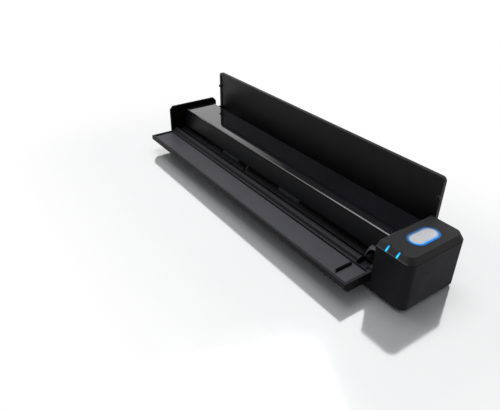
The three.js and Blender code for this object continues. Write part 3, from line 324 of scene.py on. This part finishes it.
def guide_rim(name, colour):
    """Frame of the feed guide: black, with painted light in grey on the upward faces of its rim.
    """
    s = moulded(name, colour, rough=0.45, gloss=0.08)
    # Painted light: faces that look up are painted grey.
    s.overlay(s.rising(s.facing("Z"), 0.85, 0.97), GUIDE_RIM_LIT_GREY)
    return s


# Finger tab of the cover: its middle and half width along X, and where it starts along Y
TAB_MIDDLE_MM = 104.15
TAB_HALF_MM = 4.1
TAB_FRONT_MM = -11.6
TAB_FADE_MM = 0.1
TAB_RIM_LIT_GREY = (0.05, 0.05, 0.053)


def cover_satin(name, colour):
    """Satin cover; on the finger tab, faces that look up or forward have a painted highlight and
    the rest painted shade in black round its opening.
    """
    s = moulded(name, colour, rough=0.36, gloss=0.12, grain_mm=0.01)
    axes = s.axes()
    across = s.falling(
        s.off(axes["X"], TAB_MIDDLE_MM * MM), TAB_HALF_MM * MM, (TAB_HALF_MM + TAB_FADE_MM) * MM
    )
    start = place(0, TAB_FRONT_MM, 0).y
    tab = s.product(across, s.falling(axes["Y"], start, start + TAB_FADE_MM * MM))
    upward = s.rising(s.facing("Z"), 0.3, 0.6)
    forward = s.falling(s.facing("Y"), -0.6, -0.3)
    # Painted light and shade on the finger tab: grey on faces that look up or forward, black on
    # the rest.
    s.overlay(tab, s.mix(s.math("MAXIMUM", upward, forward), PAINTED_SHADE_BLACK, TAB_RIM_LIT_GREY))
    return s


# Control bezel: the painted highlight on its lower lip in front, and the painted shade that
# darkens its right side
BEZEL_GREY = (0.018, 0.018, 0.0195)
LIP_MM = 0.45
LIP_LIT_GREY = (0.075, 0.075, 0.08)
SIDE_SHADE = 0.4
LIGHT_OVER_CREASE_MM = 0.2


def slant_foot():
    """Height of the crease from which the bezel's slanted front edge rises."""
    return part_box("status_light_1")[0].z - LIGHT_OVER_CREASE_MM * MM


def bezel_grained(name, colour):
    """Grained moulding with painted light: a painted highlight on its front lower lip, painted
    shade on faces that look right, black painted shade where they also look forward.
    """
    s = moulded(name, colour, rough=0.55, gloss=0.18, grain_scale=2200, grain_mm=0.03)
    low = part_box("control_bezel")[0]
    axes = s.axes()
    seam = s.near(axes["Z"], slant_foot(), LIP_MM * MM)
    front = s.falling(axes["Y"], low.y + LIP_MM * MM, low.y + 2 * LIP_MM * MM)
    # Painted shade: faces that look right are darkened.
    s.overlay(s.rising(s.facing("X"), 0.15, 0.5), tuple(c * SIDE_SHADE for c in colour))
    forward = s.falling(s.facing("Y"), -0.4, -0.2)
    # Painted shade: faces that look right and forward are painted black.
    s.overlay(s.product(s.rising(s.facing("X"), 0.15, 0.35), forward), PAINTED_SHADE_BLACK)
    # Painted highlight along the front lower lip.
    s.overlay(s.product(seam, front), LIP_LIT_GREY)
    return s


# Polished plate: its front arris, with a painted highlight along the right part
ARRIS_MM = 0.35
ARRIS_FULL_SHARE = 0.6
ARRIS_RIGHT_SHARE = 0.6
ARRIS_HIGHLIGHT_GREY = (0.15, 0.15, 0.155)


def lacquered(name, colour):
    """Polished lid plate: dark body under a clear hard coat, with a painted highlight along its
    front arris.
    """
    s = Shader(name)
    s.tint(colour, spread=0.2, scale=30)
    low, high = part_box("cover_plate")
    axes = s.axes()
    deep = ARRIS_MM * MM
    arris = s.falling(axes["Y"], low.y + deep * ARRIS_FULL_SHARE, low.y + deep)
    right = s.rising(axes["X"], 0.0, high.x * ARRIS_RIGHT_SHARE)
    top = s.rising(axes["Z"], high.z - 2 * deep, high.z - deep)
    # Painted highlight on the front arris, towards the right.
    s.overlay(s.product(arris, right, top), ARRIS_HIGHLIGHT_GREY)
    s.rough(0.05, spread=0.02, scale=50)
    s.bump(s.noise(26, detail=1, stretch=(0.5, 1, 1)), depth_mm=0.02, strength=0.3)
    return s.set(Specular_IOR_Level=0.8, Coat_Weight=0.6, Coat_Roughness=0.03)


def ground_rubber(name, colour):
    """Rubber ground round its axis, so the marks run round and the colour is dusty."""
    s = Shader(name)
    s.tint(colour, spread=0.25, scale=420)
    s.rough(0.82, spread=0.08, scale=300)
    s.bump(s.noise(900, detail=2, stretch=(1.6, 0.5, 0.5)), depth_mm=0.05, strength=0.7)
    return s.set(Specular_IOR_Level=0.25)


def turned_steel(name, colour):
    """Steel whose turning marks run round the shafts' axis."""
    s = Shader(name)
    s.tint(colour, spread=0.08, scale=260, detail=3, stretch=(3, 1, 1))
    s.rough(0.28, spread=0.08, scale=500, stretch=(4, 1, 1))
    s.bump(s.noise(1500, detail=2, stretch=(3, 0.3, 0.3)), depth_mm=0.01, strength=0.5)
    return s.set(Metallic=1)


def circuit_board(name, mask_colour, track_colour):
    """Solder mask over copper: faint tracks as a raised cell pattern."""
    s = Shader(name)
    tracks = s.add("ShaderNodeTexVoronoi", Scale=260)
    tracks.distance = "CHEBYCHEV"
    s.link(s.coords, tracks.inputs["Vector"])
    edge = s.rising(tracks.outputs["Distance"], 0.35, 0.42)
    s.paint(s.mix(edge, mask_colour, track_colour), "Base Color")
    s.rough(0.4, spread=0.08)
    s.bump(edge, depth_mm=0.03, strength=0.6)
    return s


def foil_pack(name, colour):
    s = Shader(name)
    s.tint(colour, spread=0.12, scale=30)
    s.rough(0.42, spread=0.1, scale=90)
    s.bump(s.noise(120, detail=4), depth_mm=0.15, strength=0.4)
    return s


def clear_glass(name, colour):
    s = Shader(name)
    s.tint(colour, spread=0.04)
    s.rough(0.05, spread=0.02)
    return s.set(Transmission_Weight=0.9, IOR=1.5)


def acetal(name, colour):
    s = Shader(name)
    s.tint(colour, spread=0.05, scale=300)
    s.rough(0.4, spread=0.06)
    s.bump(s.noise(1800, detail=2), depth_mm=0.01, strength=0.4)
    return s.set(Subsurface_Weight=0.1, Subsurface_Scale=0.001)


# Scan button, a pill along Y, and the ring of light round it
button_low, button_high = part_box("scan_button")
button_centre = (button_low + button_high) / 2
BUTTON_HALF_WIDTH = (button_high.x - button_low.x) / 2
BUTTON_REACH = (button_high.y - button_low.y) / 2 - BUTTON_HALF_WIDTH
BUTTON_RIM_FROM = 0.8  # share of the half width at which the lit rim starts
SILVER_DARK = (0.54, 0.54, 0.57)
SILVER_PALE = (0.62, 0.61, 0.63)
# Painted light: the pale blue of the rim and the glow of face and rim
SILVER_RIM_BLUE_LIGHT = (0.5, 0.62, 0.78)
SILVER_GLOW = (0.09, 0.09, 0.1)
SILVER_RIM_GLOW = (0.05, 0.14, 0.26)
ring_low, ring_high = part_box("button_light_ring")
RING_HALF_WIDTH = (ring_high.x - ring_low.x) / 2
RING_ACROSS_INSET = 0.55  # shares of the half width
RING_ALONG_FROM = 1.7
RING_ALONG_LEVEL = 0.25
# Colours from the ring's inner lip at 0 to its outer edge at 1
RING_NEAR = [
    (0.0, (0.2, 0.5, 0.8)), (0.14, (0.04, 0.3, 0.7)), (0.35, (0.006, 0.2, 0.6)),
    (0.72, (0.004, 0.11, 0.4)), (0.93, (0.006, 0.035, 0.11)), (1.0, (0.012, 0.02, 0.04)),
]
RING_FAR = [
    (0.0, (0.22, 0.36, 0.52)), (0.2, (0.07, 0.16, 0.3)), (0.5, (0.03, 0.09, 0.2)),
    (0.8, (0.012, 0.04, 0.12)), (1.0, (0.012, 0.02, 0.035)),
]


def spine_distance(s):
    """Distance in plan from the line that the button's pill is drawn round."""
    return s.away(button_centre[:2], (0, BUTTON_REACH))


def button_silver(name):
    """Satin silver paint with painted light: the face glows faintly, and its rim is painted pale
    blue and glows blue, as if lit by the ring.
    """
    s = Shader(name)
    rim = s.rising(spine_distance(s), BUTTON_HALF_WIDTH * BUTTON_RIM_FROM, BUTTON_HALF_WIDTH)
    face = s.mix(s.ranged(s.noise(160), 0, 1), SILVER_DARK, SILVER_PALE)
    # Painted light: the rim is painted pale blue.
    s.paint(s.mix(rim, face, SILVER_RIM_BLUE_LIGHT), "Base Color")
    s.rough(0.36, spread=0.05)
    s.bump(s.noise(3200, detail=2), depth_mm=0.006, strength=0.4)
    # Painted glow on the face and rim; the button is not a lamp.
    s.paint(s.mix(rim, SILVER_GLOW, SILVER_RIM_GLOW), "Emission Color")
    return s.set(Emission_Strength=0.5, Metallic=0.25)


def ring_light(name):
    """Light-guide ring: pale at its inner lip, azure on the near side, navy on the far side."""
    s = Shader(name)
    outward = s.rising(spine_distance(s), BUTTON_HALF_WIDTH, RING_HALF_WIDTH)
    axes = s.axes()
    inset = RING_HALF_WIDTH * RING_ACROSS_INSET
    across = s.rising(axes["X"], ring_low.x + inset, ring_high.x - inset)
    far_from = ring_high.y - RING_HALF_WIDTH * RING_ALONG_FROM
    along = s.ranged(axes["Y"], 1, RING_ALONG_LEVEL, far_from, ring_high.y)
    near, far = s.ramp(outward, RING_NEAR), s.ramp(outward, RING_FAR)
    s.paint(s.mix(s.product(across, along), far, near), "Base Color", "Emission Color")
    s.rough(0.3, spread=0.04)
    return s.set(Emission_Strength=0.4, Specular_IOR_Level=0.2)


# Status lights: their tones, and how they end on the bezel's flat top
LIGHT_CYAN = (0.02, 0.5, 0.8)
LIGHT_BLUE = (0.006, 0.2, 0.52)
LIGHT_SIDE_BLUE = (0.004, 0.09, 0.2)
LIGHT_OFF = (0.0, 0.0, 0.0)
LIGHT_BRIGHTEST = 0.35  # share of their height
LIGHT_SLOT_ON_TOP_MM = 1.4
LIGHT_ENDS_FROM_MM = -0.15  # places behind the crest
LIGHT_ENDS_AT_MM = 0.05


def status_light(name):
    """Light pipe on the slanted edge: brightest low at its middle, grey where it meets the top."""
    s = Shader(name)
    boxes = [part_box("status_light_1"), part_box("status_light_2")]
    low, high = boxes[0]
    height = high.z - low.z
    axes = s.axes()
    off = s.off(axes["Z"], low.z + height * LIGHT_BRIGHTEST)
    fade = s.rising(off, 0, height * (1 - LIGHT_BRIGHTEST))
    half = (high.x - low.x) / 2
    core = s.math("MAXIMUM", *[s.near(axes["X"], (a.x + b.x) / 2, half) for a, b in boxes])
    glow = s.mix(core, LIGHT_SIDE_BLUE, s.mix(fade, LIGHT_CYAN, LIGHT_BLUE))
    crest = high.y - LIGHT_SLOT_ON_TOP_MM * MM
    beyond = s.rising(axes["Y"], crest + LIGHT_ENDS_FROM_MM * MM, crest + LIGHT_ENDS_AT_MM * MM)
    s.paint(s.mix(beyond, glow, BEZEL_GREY), "Base Color")
    s.paint(s.mix(beyond, glow, LIGHT_OFF), "Emission Color")
    s.rough(0.45, spread=0.04)
    return s.set(Emission_Strength=0.8, Specular_IOR_Level=0.18)


MATERIALS = {
    "case": moulded("case_satin_black", (0.0075, 0.0075, 0.0085), rough=0.42, gloss=0.16),
    "housing": moulded("housing_satin_black", (0.0105, 0.0105, 0.0125), rough=0.5, gloss=0.05),
    "bezel": bezel_grained("bezel_grained_grey", BEZEL_GREY),
    "plate": lacquered("cover_polished_black", (0.006, 0.006, 0.008)),
    "cap": moulded("cap_satin_black", (0.002, 0.002, 0.0024), rough=0.5, gloss=0.05),
    "cover": cover_satin("cover_satin_black", (0.0025, 0.0027, 0.0036)),
    "guide": guide_grained("guide_satin_grey", (0.036, 0.036, 0.042)),
    "rib": rib_painted_shade("guide_rib_painted_shade", RIB_SHADE_BLACK),
    "guide_edge": guide_rim("guide_edge_black", (0.003, 0.003, 0.0034)),
    "button": button_silver("button_silver_paint"),
    "ring": ring_light("ring_light_blue"),
    "light": status_light("status_light_cyan"),
    "foot": ground_rubber("foot_rubber_grey", (0.022, 0.022, 0.022)),
    "roller": ground_rubber("roller_rubber_grey", (0.045, 0.05, 0.056)),
    "steel": turned_steel("steel_turned", (0.6, 0.61, 0.63)),
    "acetal": acetal("acetal_natural", (0.74, 0.72, 0.66)),
    "board": circuit_board("board_green_mask", (0.012, 0.085, 0.038), (0.02, 0.14, 0.06)),
    "battery": foil_pack("battery_sleeve", (0.105, 0.16, 0.24)),
    "platen": moulded(
        "platen_white_plastic", (0.82, 0.82, 0.79), rough=0.55, gloss=0.4,
        grain_scale=1800, grain_mm=0.01, spread=0.03,
    ),
    "glass": clear_glass("scan_window_glass", (0.82, 0.9, 0.92)),
}

# Pieces that stand for a node, with the moulded edges that the CAD solids leave sharp

WELD_MM = 0.002
FLAT_ANGLE = math.radians(0.6)
SLIVER_MM = 0.13
DEGENERATE_MM = 0.01
SOFT_ANGLE = math.radians(32)
SOFT_SEGMENTS = 2
SHARP_ANGLE = math.radians(40)


def dress(piece, material):
    """One material on every face."""
    piece.data.materials.clear()
    piece.data.materials.append(MATERIALS[material].material)


def add_piece(name, mesh):
    piece = bpy.data.objects.new(name, mesh)
    bpy.context.scene.collection.objects.link(piece)
    return piece


def link_mesh(name, bm):
    mesh = bpy.data.meshes.new(name)
    bm.to_mesh(mesh)
    bm.free()
    return add_piece(name, mesh)


def shade(mesh):
    """Smooth, with sharp edges where faces meet at more than the sharp angle."""
    mesh.shade_smooth()
    mesh.set_sharp_from_angle(angle=SHARP_ANGLE)


def softened(node, material, slot, width_mm, sliver_mm=SLIVER_MM, cutter=None):
    """The node's own solid with its moulded edges rounded, standing for the node."""
    bm = bmesh.new()
    bm.from_mesh(nodes[node].data)
    bmesh.ops.remove_doubles(bm, verts=bm.verts, dist=WELD_MM * MM)
    bmesh.ops.dissolve_limit(bm, angle_limit=FLAT_ANGLE, verts=bm.verts, edges=bm.edges)
    bmesh.ops.remove_doubles(bm, verts=bm.verts, dist=sliver_mm * MM)
    bmesh.ops.dissolve_degenerate(bm, edges=bm.edges, dist=DEGENERATE_MM * MM)
    base = link_mesh(node + "_base", bm)
    if cutter:
        opening = base.modifiers.new("open", "BOOLEAN")
        opening.operation = "DIFFERENCE"
        opening.solver = "EXACT"
        opening.object = cutter
    bevel = base.modifiers.new("round", "BEVEL")
    bevel.width = width_mm * MM
    bevel.segments = SOFT_SEGMENTS
    bevel.limit_method = "ANGLE"
    bevel.angle_limit = SOFT_ANGLE
    depsgraph = bpy.context.evaluated_depsgraph_get()
    mesh = bpy.data.meshes.new_from_object(base.evaluated_get(depsgraph))
    bpy.data.objects.remove(base)
    if cutter:
        bpy.data.objects.remove(cutter)
    mesh.name = node + "_moulding"
    piece = add_piece(node + "_moulding", mesh)
    shade(mesh)
    flat = piece.modifiers.new("flat", "WEIGHTED_NORMAL")
    flat.keep_sharp = True
    dress(piece, material)
    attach(piece, nodes[node]["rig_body"])
    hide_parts(node)
    return piece


# Node, look, slot, width of the rounding in millimetres, and the shortest edge kept
SOFTENED = [
    ("lower_case", "case", "case_black", 0.35),
    ("feed_bed", "case", "case_black", 0.2),
    ("left_end_cap", "cap", "case_black", 0.4),
    ("right_housing", "housing", "housing_black", 0.3),
    ("control_bezel", "bezel", "bezel_grey", 0.35, 0.03),
    ("cover_plate", "plate", "cover_gloss", 0.2),
    ("feed_guide_shell", "guide_edge", "case_black", 0.35),
    ("output_guide", "case", "case_black", 0.4),
    ("rubber_foot_1", "foot", "foot_rubber", 0.3),
    ("rubber_foot_2", "foot", "foot_rubber", 0.3),
    ("rubber_foot_3", "foot", "foot_rubber", 0.3),
    ("rubber_foot_4", "foot", "foot_rubber", 0.3),
]
for softened_row in SOFTENED:
    softened(*softened_row)

# The feed guide's panel has a second material on its aligning rib: painted shade with painted
# highlights
RIB_SKIRT_MM = 0.02
panel = softened("feed_guide_panel", "guide", "guide_grey", 0.4)
panel.data.materials.append(MATERIALS["rib"].material)
panel_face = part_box("feed_guide_panel")[1].z - RIB_MM * MM
for face in panel.data.polygons:
    if face.center.z > panel_face + RIB_SKIRT_MM * MM:
        face.material_index = 1

# Opening of the cover's finger tab: an arch, in the drawing's millimetres
TAB_OPENING_LOW = (101.05, -18.5, 14.0)
TAB_OPENING_HIGH = (107.25, -12.9, 20.85)
TAB_ARCH_MM = 2.6
TAB_ARCH_SEGMENTS = 6
SAME_PLACE = 1e-7


def arch_cutter():
    """A block with its two upper long edges rounded, to cut the arch with."""
    bm = bmesh.new()
    bmesh.ops.create_cube(bm, size=1)
    start, end = place(*TAB_OPENING_LOW), place(*TAB_OPENING_HIGH)
    for vert in bm.verts:
        vert.co = [a + (b - a) * (c + 0.5) for a, b, c in zip(start, end, vert.co)]
    top = [
        edge for edge in bm.edges
        if all(abs(vert.co.z - end.z) < SAME_PLACE for vert in edge.verts)
        and abs(edge.verts[0].co.x - edge.verts[1].co.x) < SAME_PLACE
    ]
    bmesh.ops.bevel(
        bm, geom=top, offset=TAB_ARCH_MM * MM, segments=TAB_ARCH_SEGMENTS,
        affect="EDGES", profile=0.5,
    )
    return link_mesh("cutter", bm)


softened("top_cover", "cover", "case_black", 0.3, cutter=arch_cutter())

# Status lights: prisms in the bezel's slots, a hair proud of its slanted front edge and its top
LIGHT_FOOT_MM = 0.12  # up the slope from the crease
LIGHT_PROUD_MM = 0.07
LIGHT_TOP_PROUD_MM = 0.01
LIGHT_NARROWED_MM = 0.03
LIGHT_DEEP_MM = 0.8
LIGHT_ROUND_MM = 0.12
LIGHT_ROUND_SEGMENTS = 2


def status_pipe(node):
    low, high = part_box(node)
    bezel_low, bezel_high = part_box("control_bezel")
    on_top = LIGHT_SLOT_ON_TOP_MM * MM
    foot = Vector((bezel_low.y, slant_foot()))
    crest = Vector((high.y - on_top, bezel_high.z))
    slope = (crest - foot).normalized()
    foot = foot + slope * (LIGHT_FOOT_MM * MM)
    out = Vector((-slope.y, slope.x))
    mitre = (out + Vector((0, 1))).normalized()
    back = crest + Vector((on_top, 0))
    proud = LIGHT_PROUD_MM * MM
    deep = LIGHT_DEEP_MM * MM
    slim = LIGHT_NARROWED_MM * MM
    outline = [
        back + Vector((0, LIGHT_TOP_PROUD_MM * MM)), crest + mitre * proud, foot + out * proud,
        foot - out * deep, crest - mitre * deep, back - Vector((0, deep)),
    ]
    bm = bmesh.new()
    ends = [[bm.verts.new((x, p.x, p.y)) for p in outline] for x in (low.x + slim, high.x - slim)]
    bm.faces.new(ends[0])
    bm.faces.new(list(reversed(ends[1])))
    for i in range(len(outline)):
        j = (i + 1) % len(outline)
        bm.faces.new((ends[0][j], ends[0][i], ends[1][i], ends[1][j]))
    bmesh.ops.recalc_face_normals(bm, faces=bm.faces)
    bmesh.ops.bevel(
        bm, geom=bm.edges[:], offset=LIGHT_ROUND_MM * MM, segments=LIGHT_ROUND_SEGMENTS,
        affect="EDGES", clamp_overlap=True,
    )
    piece = link_mesh(node + "_pipe", bm)
    shade(piece.data)
    dress(piece, "light")
    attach(piece, nodes[node]["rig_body"])
    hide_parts(node)


status_pipe("status_light_1")
status_pipe("status_light_2")

# Nodes shown as they are; the rest are rollers, bushes, and steel shafts and pins
KEPT = {
    "button_light_ring": "ring",
    "white_platen": "platen",
    "sensor_bar": "case",
    "sensor_glass": "glass",
    "sheet_sensor_lever": "case",
    "control_board": "board",
    "main_board": "board",
    "io_board": "board",
    "battery_pack": "battery",
    "scan_button": "button",
    "rear_key": "case",
    "wifi_switch": "case",
    "motor_pinion": "acetal",
    "reduction_gear": "acetal",
    "idler_gear": "acetal",
    "feed_gear": "acetal",
    "eject_gear": "acetal",
}


def look_of(name):
    if name in KEPT:
        return KEPT[name]
    if "roller" in name:
        return "roller"
    return "acetal" if "bush" in name else "steel"


for name, shown in nodes.items():
    if shown.hide_render:
        continue
    if not shown.material_slots:
        shown.data.materials.append(None)
    for slot in shown.material_slots:
        slot.material = MATERIALS[look_of(name)].material

# Floor, background and light

FLOOR_SIZE = 8
FLOOR_SQUARES = 8
FLOOR_COLOUR = (0.93, 0.93, 0.935)
FLOOR_WHITE_FROM = 0.045
FLOOR_WHITE_AT = 0.12
FLOOR_MIRROR_SHARE = 0.6
WORLD_COLOUR = (0.96, 0.98, 1, 1)
WORLD_STRENGTH = 0.55
WHITE = (1, 1, 1, 1)


def path_flag(tree):
    """1 for rays from the camera, or that a mirror or glass sends on."""
    rays = tree.nodes.new("ShaderNodeLightPath")
    flag = rays.outputs["Is Camera Ray"]
    for kind in ("Is Glossy Ray", "Is Transmission Ray"):
        either = tree.nodes.new("ShaderNodeMath")
        either.operation = "MAXIMUM"
        tree.links.new(flag, either.inputs[0])
        tree.links.new(rays.outputs[kind], either.inputs[1])
        flag = either.outputs[0]
    return flag


def blend_shaders(tree, share, plain, white, output):
    mix = tree.nodes.new("ShaderNodeMixShader")
    for socket, source in zip(mix.inputs, (share, plain, white)):
        tree.links.new(source, socket)
    tree.links.new(mix.outputs[0], tree.nodes[output].inputs["Surface"])


def footprint_distance(s):
    """Distance in metres from the box that the scanner stands on, by nodes."""
    low, high = cad_bounds
    centre = [float(low[axis] + high[axis]) / 2 for axis in (0, 1)]
    halves = [float(high[axis] - low[axis]) / 2 for axis in (0, 1)]
    return s.away(centre, halves)


def add_floor():
    bm = bmesh.new()
    bmesh.ops.create_grid(
        bm, x_segments=FLOOR_SQUARES, y_segments=FLOOR_SQUARES, size=FLOOR_SIZE / 2
    )
    floor = link_mesh("floor", bm)
    s = Shader("floor_white_sheet")
    s.tint(FLOOR_COLOUR, spread=0.01, scale=3)
    s.rough(0.1, spread=0.02, scale=20)
    s.set(Metallic=FLOOR_MIRROR_SHARE)
    white = s.add("ShaderNodeEmission", Color=WHITE)
    fade = s.rising(footprint_distance(s), FLOOR_WHITE_FROM, FLOOR_WHITE_AT)
    share = s.product(fade, path_flag(s.tree))
    blend_shaders(s.tree, share, s.shader.outputs[0], white.outputs[0], "Material Output")
    floor.data.materials.append(s.material)


def add_world():
    world = bpy.data.worlds.new("studio")
    bpy.context.scene.world = world
    world.use_nodes = True
    tree = world.node_tree
    soft = tree.nodes["Background"]
    soft.inputs["Color"].default_value = WORLD_COLOUR
    soft.inputs["Strength"].default_value = WORLD_STRENGTH
    seen = tree.nodes.new("ShaderNodeBackground")
    seen.inputs["Color"].default_value = WHITE
    blend_shaders(tree, path_flag(tree), soft.outputs[0], seen.outputs[0], "World Output")


# Dark studio card behind the scanner, which only mirrors show: its corners in the drawing's
# millimetres, its tone, and how far its soft rim reaches in from each edge
CARD_RIGHT = (0, 245)
CARD_LEFT = (-330, 165)
CARD_LOW_MM = 150
CARD_HIGH_MM = 258
CARD_GREY = (0.06, 0.06, 0.06)
CARD_RIM = (1.0, 1.0, 1.0)
CARD_SOFT_LEFT = 0.32
CARD_SOFT_RIGHT = 0.12
CARD_SOFT_UPRIGHT = 0.24


def add_card():
    corners = [
        (*CARD_LEFT, CARD_LOW_MM), (*CARD_RIGHT, CARD_LOW_MM),
        (*CARD_RIGHT, CARD_HIGH_MM), (*CARD_LEFT, CARD_HIGH_MM),
    ]
    bm = bmesh.new()
    bm.faces.new([bm.verts.new(place(*corner)) for corner in corners])
    card = link_mesh("studio_card", bm)
    s = Shader("studio_card_grey")
    axes = s.axes()
    start, end = place(*corners[0]), place(*corners[2])
    width, height = end.x - start.x, end.z - start.z
    dark = s.product(
        s.rising(axes["X"], start.x, start.x + CARD_SOFT_LEFT * width),
        s.falling(axes["X"], end.x - CARD_SOFT_RIGHT * width, end.x),
        s.rising(axes["Z"], start.z, start.z + CARD_SOFT_UPRIGHT * height),
        s.falling(axes["Z"], end.z - CARD_SOFT_UPRIGHT * height, end.z),
    )
    glow = s.add("ShaderNodeEmission")
    s.link(s.mix(dark, CARD_RIM, CARD_GREY), glow.inputs["Color"])
    s.link(glow.outputs[0], s.tree.nodes["Material Output"].inputs["Surface"])
    card.data.materials.append(s.material)
    card.visible_camera = False
    card.visible_diffuse = False
    card.visible_transmission = False


# Softbox above the scanner, aimed at the origin
SOFTBOX_AT = Vector((-0.3, 0.1, 0.97))
SOFTBOX_WIDTH = 0.65
SOFTBOX_HEIGHT = 0.55
SOFTBOX_WATTS = 5.2


def add_softbox():
    data = bpy.data.lights.new("overhead_softbox", "AREA")
    data.shape = "RECTANGLE"
    data.size = SOFTBOX_WIDTH
    data.size_y = SOFTBOX_HEIGHT
    data.energy = SOFTBOX_WATTS
    lamp = bpy.data.objects.new("overhead_softbox", data)
    bpy.context.scene.collection.objects.link(lamp)
    turn = (-SOFTBOX_AT).to_track_quat("-Z", "Y").to_matrix().to_4x4()
    lamp.matrix_world = Matrix.Translation(SOFTBOX_AT) @ turn


add_camera()
add_floor()
add_card()
add_world()
add_softbox()

scene = bpy.context.scene
scene.view_settings.view_transform = "Standard"

bpy.context.view_layer.update()
